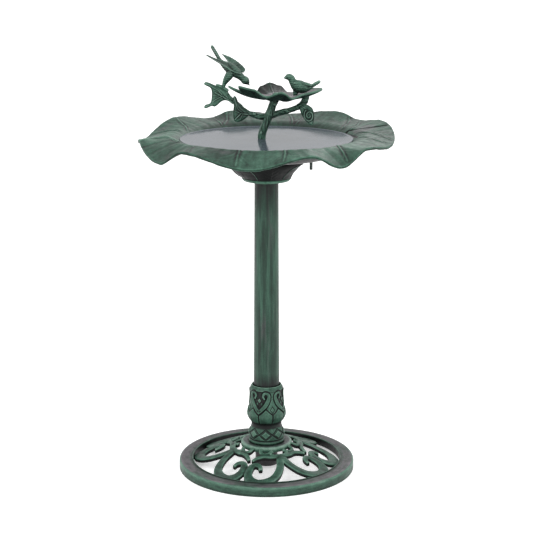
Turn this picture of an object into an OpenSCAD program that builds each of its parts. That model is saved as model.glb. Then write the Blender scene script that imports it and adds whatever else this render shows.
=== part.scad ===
// Garden bird bath: an openwork foot, a lotus socket, a tapered column, a flared capital,
// a wavy leaf bowl and a twig ornament with a leaf dish and two birds.
// Millimetres. +Z is up. The origin is the centre of the foot ring's underside.
// -Y is the front, where the leaf bowl droops lowest.

/* [Foot] */
// Outer radius of the foot ring
foot_r = 165; // [150:1:182]
// Height of the foot ring
ring_h = 18; // [15:0.5:22]
// Width of the foot ring's top
ring_w = 26; // [21:1:31]
// Wall of the hollow foot ring
ring_wall = 3.2; // [2.6:0.1:3.8]
// Radius of the hub disc
hub_r = 48; // [44:1:52]
// Height of the hub disc's top
hub_z = 51; // [46:1:58]
// Thickness of the hub disc
hub_t = 10; // [8:0.5:12]
// Thickness of the openwork bars
bar_t = 9; // [7:0.5:11]
// Number of scroll pairs around the foot
pairs = 4; // [4]

/* [Column] */
// Height of the lotus socket
socket_h = 111; // [98:1:130]
// Widest radius of the lotus socket
belly_r = 35.6; // [33:0.2:42]
// Outer radius of the column at its lower end
column_r1 = 24.6; // [23.5:0.1:27]
// Outer radius of the column at its upper end
column_r2 = 22; // [20.5:0.1:24]
// Wall of the column tube
column_wall = 2.8; // [2.2:0.1:3.2]
// Height of the column's upper end above the ground
column_top = 549; // [440:1:640]
// Radius of the tie rod through the column
rod_r = 4; // [3:0.5:5]

/* [Bowl] */
// Height of the capital
capital_h = 41; // [37:1:48]
// Widest radius of the capital
capital_r = 66; // [62:1:70]
// Mean radius of the leaf bowl's rim
bowl_r = 231; // [195:1:270]
// Depth from the bowl's shoulder to its floor
bowl_depth = 37; // [31:1:44]
// Wall of the leaf bowl
bowl_wall = 5; // [4:0.2:6]
// Size of the rim's waves, as a share of their natural height
wave = 1; // [0.8:0.05:1.2]
// Distance of the drain from the bowl's centre
drain_x = 81; // [76:1:90]
// Radius of the drain hole
drain_r = 6; // [5:0.5:7]

/* [Ornament] */
// Scale of the twig ornament
twig = 1; // [0.85:0.05:1.1]
// Radius of the stem's peg
peg_r = 7; // [6:0.5:8]
// Thickness of a leaf
leaf_t = 4; // [3:0.5:5]
// Wall of the leaf dish
dish_wall = 4; // [3.2:0.2:4.8]

/* [Hidden] */

verdigris = [0.29, 0.42, 0.35];
verdigris_dark = [0.20, 0.31, 0.26];
black_plastic = [0.06, 0.06, 0.065];
rubber = [0.10, 0.10, 0.10];
zinc = [0.66, 0.67, 0.68];

$fn = 96;
touch = 0.01;          // how far cutting shapes run past the face they cut
fit = 0.3;             // radial room between plastic pieces that slip together
bayonet = 12;          // depth of the collar in the capital's mouth

ring_in = foot_r - ring_w;              // inner radius of the foot ring
plan_k = ring_in / 139;                 // scale of the openwork's plan
cone_fall = (hub_z - 12) / (ring_in - hub_r);   // slope of the openwork
tube_r = 21;                            // hub tube's outer radius, a slip fit in the column
tube_in = 17;
tube_low = 5;
web_z = 20;                             // floor inside the tube that the rod's nut pulls on
web_t = 6;
tube_high = hub_z + socket_h * 0.67;
seat_z = hub_z + 8;                     // where the column's lower end sits in the socket
socket_top = hub_z + socket_h;
capital_top = column_top + capital_h - 1;
gasket_t = 1;
bowl_z = capital_top + gasket_t;        // flat underside of the bowl
floor_z = bowl_z + bowl_wall;
shoulder_z = floor_z + bowl_depth;      // height of the bowl's shoulder, above the water line
floor_r = capital_r;                    // the underside is flat inside this radius
collar_r = 36;
bush_r = 11;
flange_t = 3;
stem_z = floor_z + flange_t;            // the stem's flange rests here
twig_z = floor_z - 18;                  // level that the ornament's heights are measured from
nut_h = 6.5;
washer_t = 1.6;
lugs = 3;                               // bayonet lugs on the bowl's collar
lug_turn = 30;                          // degrees from locked to free
lug_wide = 20;
body_sides = 16;

// ---- curves ----

// Catmull-Rom point between b and c
function bend(a, b, c, d, t) =
    0.5 * (2 * b + (c - a) * t + (2 * a - 5 * b + 4 * c - d) * t * t
    + (3 * b - a - 3 * c + d) * t * t * t);

// a smooth run of n points per span through p
function smooth(p, n) = concat(
    [for (i = [0 : len(p) - 2]) for (j = [0 : n - 1])
        bend(p[max(i - 1, 0)], p[i], p[i + 1], p[min(i + 2, len(p) - 1)], j / n)],
    [p[len(p) - 1]]);

function flip(p) = [for (i = [len(p) - 1 : -1 : 0]) p[i]];
function unit(v) = v / norm(v);

// one edge of a flat stroke whose points are [x, y, half width]
function edge(p, side) = [for (i = [0 : len(p) - 1])
    let (a = p[max(i - 1, 0)], b = p[min(i + 1, len(p) - 1)],
         d = unit([b.x - a.x, b.y - a.y]))
    [p[i].x - side * d.y * p[i].z, p[i].y + side * d.x * p[i].z]];

module stroke(p) polygon(concat(edge(p, 1), flip(edge(p, -1))));

// a closed skin over rings of equal length; the first and last rings are its flat ends
module skin(rings) {
    n = len(rings[0]);
    m = len(rings);
    polyhedron(
        points = [for (r = rings) for (q = r) q],
        faces = concat(
            [[for (k = [n - 1 : -1 : 0]) k]],
            [[for (k = [0 : n - 1]) (m - 1) * n + k]],
            [for (i = [0 : m - 2]) for (k = [0 : n - 1])
                let (a = i * n + k, b = i * n + (k + 1) % n) [a, b, a + n]],
            [for (i = [0 : m - 2]) for (k = [0 : n - 1])
                let (a = i * n + k, b = i * n + (k + 1) % n) [b, b + n, a + n]]),
        convexity = 6);
}

// a round bar through points [x, y, z, radius], with `flat` as its depth over its height
module bar(p, sides = 12, flat = 1) {
    skin([for (i = [0 : len(p) - 1])
        let (a = p[max(i - 1, 0)], b = p[min(i + 1, len(p) - 1)],
             t = unit([b.x - a.x, b.y - a.y, b.z - a.z]),
             u = unit(cross(t, [0, 1, 0])),
             v = cross(u, t),
             c = [p[i].x, p[i].y, p[i].z])
        [for (k = [0 : sides - 1])
            c + p[i][3] * (cos(360 * k / sides) * u + flat * sin(360 * k / sides) * v)]]);
}

// ---- foot ----

module foot_ring() {
    top = foot_r - 7;
    color(verdigris)
    rotate_extrude($fn = 180)
    polygon([
        [foot_r - ring_wall, 0], [foot_r, 0], [foot_r - 0.5, 4], [foot_r - 3, ring_h - 5],
        [foot_r - 5, ring_h - 1.5], [top, ring_h],
        [ring_in + 3, ring_h], [ring_in + 2, ring_h + 1.5], [ring_in, ring_h + 1.5],
        [ring_in, 5], [ring_in + ring_wall, 5], [ring_in + ring_wall, ring_h - ring_wall],
        [top - 2, ring_h - ring_wall], [foot_r - ring_wall - 2.5, ring_h - 7]]);
}

module foot_hub() {
    color(verdigris)
    difference() {
        rotate_extrude()
        polygon([
            [0, hub_z - hub_t], [hub_r - 3, hub_z - hub_t], [hub_r, hub_z - hub_t + 3],
            [hub_r, hub_z - 3.5], [hub_r - 1.5, hub_z - 1], [hub_r - 4, hub_z], [0, hub_z]]);
        translate([0, 0, hub_z - hub_t - 1]) cylinder(r = tube_r + 0.05, h = hub_t + 2);
        for (k = [0 : 2]) rotate(120 * k + 30)
            translate([tube_r + 6, 0, hub_z - hub_t - 1]) cylinder(r = 2.1, h = hub_t + 2, $fn = 32);
    }
}

// one half of a scroll pair; the pair's own axis is +X
module scroll_half() {
    stem = [[44, 45, 7], [56, 50, 7], [72, 56, 7], [90, 58, 7.5], [106, 54, 8], [119, 43, 9.5],
        [125, 29, 10.5], [120, 15, 9], [109, 7.5, 7.5], [97, 6, 7], [88, 9, 6], [85, 16, 5.5],
        [88, 23, 4.5], [95, 27, 3.5]];
    arc = [[28, 53, 3], [38, 52, 4], [49, 43.5, 4.5], [57.5, 32, 4.5], [62, 20, 4], [69, 10, 4],
        [78, 3, 3]];
    curl = [[47, 8, 3.5], [55, 11, 3.5], [58, 18, 3.5], [53, 26, 3.5], [44, 29, 3.5]];
    stroke(smooth(stem, 3));
    stroke(smooth(arc, 2));
    stroke(smooth(curl, 2));
}

// a pair of mirror-image scrolls hanging on the cone between hub and ring
module foot_scrolls(number) {
    spread = ring_in - 1;
    color(verdigris)
    intersection() {
        rotate(360 / pairs * number - 112)
        linear_extrude(hub_z + 10)
        scale(plan_k) union() {
            scroll_half();
            mirror([0, 1]) scroll_half();
        }
        difference() {
            rotate_extrude()
            polygon([
                [hub_r, hub_z - 1], [hub_r, hub_z - 1 - bar_t],
                [ring_in, hub_z - 1 - bar_t - cone_fall * (ring_in - hub_r)],
                [ring_in, hub_z - 1 - cone_fall * (ring_in - hub_r)]]);
            // each pair keeps to its own quarter
            for (side = [-1, 1])
                rotate(360 / pairs * number - 112 + side * (180 / pairs))
                translate([0, side > 0 ? 0 : -2 * spread, -1])
                cube([2 * spread, 2 * spread, hub_z + 12]);
        }
    }
}

// the black tube that the hub, the lotus socket and the column slide over
module hub_tube() {
    color(black_plastic)
    difference() {
        union() {
            translate([0, 0, tube_low]) cylinder(r = tube_r, h = tube_high - tube_low);
            translate([0, 0, hub_z - hub_t - 3]) cylinder(r = tube_r + 2, h = 3);
        }
        translate([0, 0, tube_low - 1]) cylinder(r = tube_in, h = web_z - tube_low + 1);
        translate([0, 0, web_z + web_t]) cylinder(r = tube_in, h = tube_high);
        translate([0, 0, web_z - 1]) cylinder(r = rod_r + 0.3, h = web_t + 2, $fn = 48);
    }
}

// ---- column ----

module lotus_socket() {
    low = socket_h / 111;
    neck_r = column_r1 + 3.9;
    color(verdigris_dark)
    difference() {
        rotate_extrude()
        polygon([
            [0, hub_z], [neck_r + 4.5, hub_z], [neck_r + 5.5, hub_z + 3 * low],
            [neck_r + 4.5, hub_z + 7 * low], [neck_r + 5, hub_z + 9 * low],
            [neck_r + 4.5, hub_z + 16 * low], [neck_r + 3, hub_z + 23 * low],
            [neck_r, hub_z + 31 * low], [neck_r, hub_z + 36 * low],
            [neck_r + 1, hub_z + 39 * low], [neck_r + 4.5, hub_z + 45 * low],
            [belly_r, hub_z + 53 * low], [belly_r - 0.6, hub_z + 60 * low],
            [neck_r + 4.5, hub_z + 70 * low], [neck_r + 3.1, hub_z + 82 * low],
            [neck_r + 2.7, hub_z + 95 * low], [neck_r + 2.9, hub_z + 104 * low],
            [neck_r + 2.1, hub_z + 105.5 * low], [neck_r - 0.7, socket_top - 0.5],
            [neck_r - 1.7, socket_top], [0, socket_top]]);
        translate([0, 0, hub_z - 1]) cylinder(r = tube_r + 0.05, h = socket_h + 2);
        translate([0, 0, seat_z]) cylinder(r = column_r1 + 0.1, h = socket_h + 2);
        for (k = [0 : 2]) rotate(120 * k + 30)
            translate([tube_r + 6, 0, hub_z - touch]) cylinder(r = 1.5, h = 7 + touch, $fn = 32);
    }
}

module screw(head_r, head_h, shank_r, shank_h) {
    translate([0, 0, -head_h]) cylinder(r = head_r, h = head_h, $fn = 32);
    translate([0, 0, -touch]) cylinder(r = shank_r, h = shank_h + touch, $fn = 32);
}

// three screws from under the hub into the lotus socket
module socket_screws() {
    color(zinc)
    for (k = [0 : 2]) rotate(120 * k + 30)
        translate([tube_r + 6, 0, hub_z - hub_t]) screw(3.6, 2.2, 1.5, hub_t + 6);
}

module column_tube() {
    color(verdigris)
    difference() {
        translate([0, 0, seat_z])
        cylinder(r1 = column_r1, r2 = column_r2, h = column_top - seat_z);
        translate([0, 0, seat_z - 1]) cylinder(r = tube_r + 0.05, h = tube_high - seat_z + 2);
        translate([0, 0, tube_high])
        cylinder(r1 = column_r1 - column_wall - 1.2, r2 = column_r2 - column_wall,
            h = column_top - tube_high + touch);
    }
}

lug_z = capital_top - bayonet + 3;
lug_h = 3;
nest_z = column_top + 6;                // floor of the capital's hollow, under the rod's nut

// a block that follows a lug: from a start angle, over a sweep, between two heights
module lug_sweep(start, sweep, low, high, room = 0) {
    rotate(start)
    rotate_extrude(angle = sweep)
    translate([collar_r - 2, low]) square([4.8 + room, high - low]);
}

module capital() {
    base = column_top;
    plug_r = column_r2 - column_wall - 0.15;
    color(verdigris_dark)
    difference() {
        union() {
            rotate_extrude()
            polygon([
                [0, base], [38, base], [41.5, base + 1], [43, base + 3], [45, base + 5.5],
                [48, base + 9.5], [52, base + 14], [56, base + 18.5], [60, base + 23],
                [64, base + 29], [capital_r, base + 34],
                [capital_r, capital_top], [0, capital_top]]);
            translate([0, 0, base - 24]) cylinder(r = plug_r, h = 25);
        }
        translate([0, 0, capital_top - bayonet]) cylinder(r = collar_r + fit, h = bayonet + 1);
        translate([0, 0, nest_z])
        cylinder(r1 = 26, r2 = collar_r - 1, h = capital_top - bayonet - nest_z + touch);
        for (k = [0 : lugs - 1]) rotate(360 / lugs * k) {
            // the groove that the lug turns in, and the slot that it drops through
            lug_sweep(-0.5, lug_wide + lug_turn + 1, lug_z - fit, lug_z + lug_h + fit, fit);
            lug_sweep(lug_turn - 0.5, lug_wide + 0.7, lug_z, capital_top + 1, fit - 0.05);
        }
        translate([0, 0, base - 30]) cylinder(r = rod_r + 0.3, h = capital_h + 30, $fn = 48);
    }
}

// the rod that pulls foot, socket, column and capital together
module tie_rod() {
    color(zinc)
    translate([0, 0, web_z - 12])
    cylinder(r = rod_r, h = nest_z + nut_h - web_z + 12, $fn = 48);
}

module rod_washer() {
    color(zinc)
    translate([0, 0, web_z - washer_t])
    difference() {
        cylinder(r = 12, h = washer_t);
        translate([0, 0, -1]) cylinder(r = rod_r + 0.25, h = washer_t + 2, $fn = 48);
    }
}

module hex_nut(across, bore, high) {
    difference() {
        cylinder(r = across / sqrt(3), h = high, $fn = 6);
        translate([0, 0, -1]) cylinder(r = bore, h = high + 2, $fn = 48);
    }
}

module rod_nut() {
    color(zinc)
    translate([0, 0, web_z - washer_t - nut_h]) hex_nut(13, rod_r + 0.02, nut_h);
}

module capital_nut() {
    color(zinc)
    translate([0, 0, nest_z]) hex_nut(13, rod_r + 0.02, nut_h - 2);
}

// ---- bowl ----

module bowl_gasket() {
    color(rubber)
    translate([0, 0, capital_top])
    difference() {
        cylinder(r = capital_r - 3, h = gasket_t);
        translate([0, 0, -1]) cylinder(r = collar_r + 4, h = gasket_t + 2);
    }
}

// crests and troughs of the rim: [degrees from the front towards +X, height over the shoulder]
rim_waves = [
    [-52, -25], [-38, -1], [-7, -22], [19, -2], [33, -23], [49, 1], [68, -6], [110, 16],
    [130, 8], [143, 19], [174, 8], [197, 16], [209, 4], [228, 13], [258, -16], [280, -4]];

// height of the rim over the shoulder at an angle a from -52 to 308
function rim_rise(a) = let (
    n = len(rim_waves),
    i = max([for (k = [0 : n - 1]) if (rim_waves[k][0] <= a) k]),
    next = i == n - 1 ? [308, rim_waves[0][1]] : rim_waves[i + 1],
    t = (a - rim_waves[i][0]) / (next[0] - rim_waves[i][0]))
    wave * (rim_waves[i][1] + (next[1] - rim_waves[i][1]) * (1 - cos(180 * t)) / 2);

// the leaf's outline is a little longer where it droops
function rim_reach(a) = bowl_r - 0.12 * (rim_rise(a) + 4);

bowl_sides = 120;
function bowl_angle(k) = -52 + 360 * k / bowl_sides;

// a ring of the bowl; share runs from 0 at the shoulder to 1 at the rim
function bowl_ring(r, z) = [for (k = [0 : bowl_sides - 1])
    let (a = bowl_angle(k)) [r * sin(a), -r * cos(a), z]];
function margin_ring(share, drop) = [for (k = [0 : bowl_sides - 1])
    let (a = bowl_angle(k), r = shoulder_r + share * (rim_reach(a) - shoulder_r),
         lift = 2 + rim_rise(a) * pow(share, 1.4) - 2 * share)
    [r * sin(a), -r * cos(a), shoulder_z + lift - drop]];
shoulder_r = 168;

module leaf_bowl() {
    top = [[floor_r, 0], [92, 0.05], [112, 0.17], [128, 0.30], [143, 0.52], [157, 0.82]];
    under = [[floor_r, 0], [104, 0.13], [129, 0.27], [153, 0.67], [164, 0.95]];
    color(verdigris)
    difference() {
        union() {
            skin(concat(
                [for (s = top) bowl_ring(s[0], floor_z + bowl_depth * s[1])],
                [for (share = [0, 0.2, 0.4, 0.6, 0.8, 0.94]) margin_ring(share, 0)],
                [margin_ring(1, 1.2), margin_ring(1, 3)],
                [for (share = [0.94, 0.7, 0.45, 0.2]) margin_ring(share, bowl_wall)],
                [for (s = flip(under)) bowl_ring(s[0], bowl_z + bowl_depth * s[1])]));
            translate([drain_x, 0, floor_z - 2]) cylinder(r = 15, h = 5);
        }
        translate([0, 0, bowl_z - 1]) cylinder(r = bush_r + 0.05, h = bowl_wall + 2);
        translate([drain_x, 0, bowl_z - 20]) cylinder(r = drain_r + 0.1, h = 60, $fn = 48);
        for (k = [0 : 3]) rotate(90 * k + 45)
            translate([30, 0, bowl_z - touch]) cylinder(r = 1.5, h = 3.5 + touch, $fn = 32);
    }
}

// the ring under the bowl that turns in the capital's mouth
module bowl_collar() {
    color(verdigris_dark)
    translate([0, 0, bowl_z - bayonet + 1])
    difference() {
        union() {
            cylinder(r = collar_r, h = bayonet - 1);
            for (k = [0 : lugs - 1]) rotate(360 / lugs * k)
                lug_sweep(0, lug_wide, lug_z - bowl_z + bayonet - 1, lug_z + lug_h - bowl_z + bayonet - 1);
        }
        translate([0, 0, -1]) cylinder(r = 24, h = bayonet + 2);
        for (k = [0 : 3]) rotate(90 * k + 45)
            translate([30, 0, -1]) cylinder(r = 2.1, h = bayonet + 2, $fn = 32);
        for (k = [0 : 3]) rotate(90 * k + 45)
            translate([30, 0, -1]) cylinder(r = 4.2, h = 3.6, $fn = 32);
    }
}

module collar_screws() {
    color(zinc)
    for (k = [0 : 3]) rotate(90 * k + 45)
        translate([30, 0, bowl_z - bayonet + 3.6]) screw(3.6, 2.2, 1.5, bayonet - 3.6 + 3);
}

// the threaded bush that carries the ornament through the bowl's floor
module stem_bush() {
    color(verdigris_dark)
    difference() {
        union() {
            translate([0, 0, floor_z]) cylinder(r = 17, h = flange_t);
            translate([0, 0, bowl_z - 9]) cylinder(r = bush_r, h = bowl_wall + 9 + touch);
        }
        translate([0, 0, bowl_z - 10]) cylinder(r = peg_r + 0.06, h = bowl_wall + 20);
    }
}

module bush_seal() {
    color(rubber)
    translate([0, 0, bowl_z - 1.5])
    difference() {
        cylinder(r = 16, h = 1.5);
        translate([0, 0, -1]) cylinder(r = bush_r + 0.02, h = 4);
    }
}

module bush_nut() {
    color(black_plastic)
    translate([0, 0, bowl_z - 1.5 - nut_h]) hex_nut(32, bush_r + 0.02, nut_h);
}

// a stopper that lifts out of the bowl's floor
module drain_plug() {
    head_z = floor_z + 3;
    color(rubber)
    translate([drain_x, 0, 0])
    union() {
        translate([0, 0, head_z]) cylinder(r = 9.5, h = 2.5, $fn = 48);
        translate([0, 0, bowl_z - 2]) cylinder(r = drain_r, h = head_z - bowl_z + 2 + touch, $fn = 48);
        translate([0, 0, bowl_z - 21]) cylinder(r = 2.8, h = 19 + touch, $fn = 32);
        translate([0, 0, head_z + 2.5 - touch]) cylinder(r = 2.2, h = 4, $fn = 32);
    }
}

// ---- ornament ----

// points given as [x, z over twig_z, radius] in the ornament's own upright plane
function lifted(p, y = 0) = [for (q = p) [q.x, y, q.y, q.z]];
module placed() translate([0, 0, twig_z]) scale(twig) children();

module trunk() {
    run = [[0, 23, 6.6], [-3, 30, 7.6], [-7, 42, 7.2], [-8.5, 54, 7.4], [-5, 67, 7], [0, 80, 7.4],
        [5, 92, 8.4], [10, 107, 7.4], [14, 118, 8], [17, 124, 9]];
    placed() bar(smooth(lifted(run), 2), sides = 16);
}

module twig_stem() {
    color(verdigris)
    union() {
        trunk();
        translate([0, 0, stem_z]) cylinder(r = 12, h = 4);
        translate([0, 0, bowl_z - 6]) cylinder(r = peg_r, h = stem_z - bowl_z + 6 + touch);
    }
}

module left_branch() {
    run = [[3, 88, 5.5], [-12, 89, 5.6], [-24, 92, 4.8], [-36, 98, 4], [-49, 109, 3.8],
        [-62, 119, 3.8], [-72, 131, 3.6], [-82, 141, 3]];
    color(verdigris)
    difference() {
        placed() bar(smooth(lifted(run), 2));
        trunk();
    }
}

module right_branch() {
    run = [[8, 91, 6], [24, 96, 5.6], [40, 100, 5.2], [54, 105, 5.2], [64, 111, 6], [69, 118, 6.5],
        [72, 127, 5.5]];
    color(verdigris)
    difference() {
        placed() bar(smooth(lifted(run), 2));
        trunk();
    }
}

// a flat leaf standing in the ornament's plane; outline points are [x, z over twig_z]
module standing_leaf(outline, y, thick) {
    placed()
    translate([0, y + thick / 2, 0]) rotate([90, 0, 0]) linear_extrude(thick) polygon(outline);
}

module ivy_leaf() {
    outline = [[-61, 116], [-70, 130], [-77, 138], [-94, 147], [-106, 152], [-111, 151],
        [-111, 147], [-99, 139], [-100, 116], [-110, 111], [-112, 106], [-108, 105], [-98, 109],
        [-92, 108], [-79, 118], [-69, 118], [-61, 112]];
    color(verdigris) standing_leaf(outline, -6, leaf_t);
}

module drooping_leaf() {
    outline = [[-31, 95], [-44, 107], [-50, 114], [-54, 124], [-58, 127], [-61, 121], [-59, 110],
        [-60, 96], [-58, 82], [-50, 80], [-41, 84]];
    color(verdigris_dark) standing_leaf(outline, -6, leaf_t);
}

module curled_leaf() {
    outline = [[60, 106], [62, 96], [69, 84], [77, 76], [83, 76], [86, 88], [84, 102], [78, 109],
        [70, 112]];
    color(verdigris) standing_leaf(outline, -8, leaf_t + 1);
}

// rim of the leaf dish: [degrees from the front towards +X, radius, height over twig_z]
dish_rim = [
    [-90, 85, 145], [-72, 66, 138], [-60, 76, 149], [-40, 62, 144], [-16, 60, 133], [8, 66, 141],
    [30, 58, 129], [52, 62, 135], [84, 83, 141], [112, 70, 138], [138, 62, 128], [162, 60, 134],
    [190, 66, 143], [214, 58, 128], [238, 64, 136], [256, 62, 131]];
dish_x = 17;
dish_low = 122;
dish_sides = 96;

function dish_at(a) = let (
    n = len(dish_rim),
    i = max([for (k = [0 : n - 1]) if (dish_rim[k][0] <= a) k]),
    next = i == n - 1 ? [270, dish_rim[0][1], dish_rim[0][2]] : dish_rim[i + 1],
    t = (a - dish_rim[i][0]) / (next[0] - dish_rim[i][0]),
    s = (1 - cos(180 * t)) / 2)
    dish_rim[i] + (next - dish_rim[i]) * s;

// a ring of the dish; share runs from 0 at its centre to 1 at the rim
function dish_ring(share, drop) = [for (k = [0 : dish_sides - 1])
    let (a = -90 + 360 * k / dish_sides, rim = dish_at(a), r = rim[1] * share,
         z = dish_low + dish_wall + (rim[2] - dish_low - dish_wall) * pow(share, 2.2))
    [dish_x + r * sin(a), -r * cos(a), z - drop]];

module leaf_dish() {
    color(verdigris)
    difference() {
        placed()
        skin(concat(
            [for (share = [0.18, 0.4, 0.6, 0.78, 0.92, 1]) dish_ring(share, 0)],
            [dish_ring(1, 1.6)],
            [for (share = [0.9, 0.72, 0.5, 0.22]) dish_ring(share, dish_wall)]));
        trunk();
    }
}

module landing_bird() {
    trunk = [[-97, 214, 3], [-90, 202, 3.3], [-83, 190, 3.4], [-77, 184, 6], [-67, 177, 9.5],
        [-56, 169, 9.5], [-48, 162, 7.5], [-42, 157, 6], [-37, 153, 6], [-33, 149, 3], [-31, 146, 0.8]];
    thigh = [[-66, 172, 7], [-72, 162, 6], [-76, 154, 5], [-79, 147, 3.4],
        [-80, 142, 2.6]];
    color(verdigris)
    placed() {
        bar(smooth(lifted(trunk), 2), sides = body_sides);
        bar(smooth(lifted(thigh), 2));
        // wings are thin blades raised on both sides of the back
        for (side = [-1, 1])
            hull() {
                translate([-52, side * 5, 169]) sphere(r = 2, $fn = 16);
                translate([-64, side * 5, 175]) sphere(r = 2, $fn = 16);
                translate([-44, side * 17, 178]) sphere(r = 1.4, $fn = 16);
                translate([-66, side * 26, 192]) sphere(r = 1.2, $fn = 16);
                translate([-81, side * 22, 201]) sphere(r = 1, $fn = 16);
            }
    }
}

module perched_bird() {
    trunk = [[31, 159.5, 0.8], [34, 160, 3], [39, 161, 6], [44, 159, 6.4], [47, 153, 7], [53, 147, 10.5],
        [61, 143.5, 11.5], [70, 142, 9], [76, 142, 5], [80, 144, 3.4], [88, 149, 3.3], [94, 152.5, 3]];
    color(verdigris)
    placed() translate([0, -8, 0]) {
        bar(smooth(lifted(trunk), 2), sides = body_sides);
        bar(lifted([[53, 140, 6], [52, 132, 4.5], [51, 127, 3.5]]));
    }
}

foot_ring();
foot_hub();
foot_scrolls(1);  // foot_scrolls_1
foot_scrolls(2);  // foot_scrolls_2
foot_scrolls(3);  // foot_scrolls_3
foot_scrolls(4);  // foot_scrolls_4
hub_tube();
lotus_socket();
socket_screws();
column_tube();
capital();
tie_rod();
rod_washer();
rod_nut();
capital_nut();
bowl_gasket();
leaf_bowl();
bowl_collar();
collar_screws();
stem_bush();
bush_seal();
bush_nut();
drain_plug();
twig_stem();
left_branch();
right_branch();
ivy_leaf();
drooping_leaf();
curled_leaf();
leaf_dish();
landing_bird();
perched_bird();
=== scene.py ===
"""Garden bird bath of moulded plastic with an aged green finish, built around its CAD frame."""

import math

import bpy
import numpy as np
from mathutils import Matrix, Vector, noise


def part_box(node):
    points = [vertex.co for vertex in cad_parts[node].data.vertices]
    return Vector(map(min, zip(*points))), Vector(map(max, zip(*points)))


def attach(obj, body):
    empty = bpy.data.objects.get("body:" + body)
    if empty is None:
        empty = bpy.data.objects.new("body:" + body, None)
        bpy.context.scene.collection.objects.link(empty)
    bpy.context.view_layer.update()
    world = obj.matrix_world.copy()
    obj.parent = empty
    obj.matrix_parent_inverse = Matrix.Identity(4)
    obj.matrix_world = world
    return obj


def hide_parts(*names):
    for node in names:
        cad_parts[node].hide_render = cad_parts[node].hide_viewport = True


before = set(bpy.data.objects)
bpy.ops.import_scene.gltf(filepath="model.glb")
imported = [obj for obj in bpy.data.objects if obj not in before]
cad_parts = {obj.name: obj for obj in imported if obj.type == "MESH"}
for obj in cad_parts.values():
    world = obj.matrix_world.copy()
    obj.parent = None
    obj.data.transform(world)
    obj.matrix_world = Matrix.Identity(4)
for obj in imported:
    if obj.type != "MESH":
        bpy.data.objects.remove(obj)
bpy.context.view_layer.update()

MM = 0.001


# ---- places that come from the frame, in millimetres ----

def low_z(node):
    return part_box(node)[0].z / MM


def high_z(node):
    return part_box(node)[1].z / MM


def radius_of(node):
    low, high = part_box(node)
    return (high.x - low.x) / 2 / MM


RING_R = radius_of("foot_ring")
RING_WIDTH = 26
RING_WALL = 3.2
RING_INNER = RING_R - RING_WIDTH
LIP_TOP = high_z("foot_ring")
RING_TOP = LIP_TOP - 1.5
HUB_R = radius_of("foot_hub")
HUB_LOW, HUB_TOP = low_z("foot_hub"), high_z("foot_hub")
SOCKET_TOP = high_z("lotus_socket")
COLUMN_R = radius_of("column_tube")
TUBE_HOLE = radius_of("hub_tube") - 1.9
COLUMN_TOP = high_z("column_tube")
CAPITAL_TOP = high_z("capital")
BOWL_LOW = low_z("bowl_gasket") + 1
BOWL_FLAT_R = radius_of("bowl_gasket") + 3
BOWL_WALL = 5
BOWL_DEPTH = 37
FLOOR_Z = BOWL_LOW + BOWL_WALL
SHOULDER_Z = FLOOR_Z + BOWL_DEPTH
SHOULDER_R = 168
BOWL_R = 231
WATER_Z = SHOULDER_Z - 6
STEM_Z = FLOOR_Z + 3
TWIG_Z = FLOOR_Z - 18
BUSH_R = 11.2


# ---- curves ----

def catmull(four, steps):
    """The Catmull-Rom curve from the second of four points up to the third."""
    a, b, c, d = four
    t = np.linspace(0, 1, steps, endpoint=False)[:, None]
    return b + 0.5 * t * (c - a + t * (2 * a - 5 * b + 4 * c - d + t * (3 * b - a - 3 * c + d)))


def smooth_path(points, steps):
    """A Catmull-Rom curve through the points."""
    p = np.asarray(points, float)
    padded = np.vstack([2 * p[0] - p[1], p, 2 * p[-1] - p[-2]])
    runs = [catmull(four, steps) for four in zip(padded, padded[1:], padded[2:], padded[3:])]
    return np.vstack(runs + [p[-1:]])


def smooth_loop(points, steps):
    """A closed Catmull-Rom curve through the points."""
    rolled = [np.roll(np.asarray(points, float), shift, 0) for shift in (1, 0, -1, -2)]
    return np.vstack([catmull(four, steps) for four in zip(*rolled)])


def eased(table, a):
    """The closed curve through [angle, value] pairs at angles a, with cosine easing between them."""
    angles, values = np.array(table + [[table[0][0] + 360, table[0][1]]], float).T
    a = (np.asarray(a, float) - angles[0]) % 360 + angles[0]
    k = np.clip(np.searchsorted(angles, a, side="right") - 1, 0, len(angles) - 2)
    t = (a - angles[k]) / (angles[k + 1] - angles[k])
    return values[k] + (values[k + 1] - values[k]) * (1 - np.cos(np.pi * t)) / 2


def off(a, middle):
    """How many degrees angle a lies from another, between -180 and 180."""
    return (a - middle + 180) % 360 - 180


def smoothstep(low, high, x):
    t = np.clip((np.asarray(x, float) - low) / (high - low), 0, 1)
    return t * t * (3 - 2 * t)


def ridge(d, width):
    """1 on a line, falling towards 0 within about two widths."""
    return np.exp(-(np.asarray(d) / width) ** 2)


def line_distance(points, path):
    """Each point's distance from a polyline, and the share of the polyline before its nearest place."""
    points, path = np.asarray(points, float), np.asarray(path, float)
    best, along = np.full(len(points), 1e9), np.zeros(len(points))
    lengths = np.linalg.norm(np.diff(path, axis=0), axis=1)
    starts = np.concatenate([[0], np.cumsum(lengths)])
    for k, (a, b) in enumerate(zip(path, path[1:])):
        t = np.clip((points - a) @ (b - a) / max((b - a) @ (b - a), 1e-12), 0, 1)
        d = np.linalg.norm(points - a - t[:, None] * (b - a), axis=1)
        along = np.where(d < best, (starts[k] + t * lengths[k]) / starts[-1], along)
        best = np.minimum(best, d)
    return best, along


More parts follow.
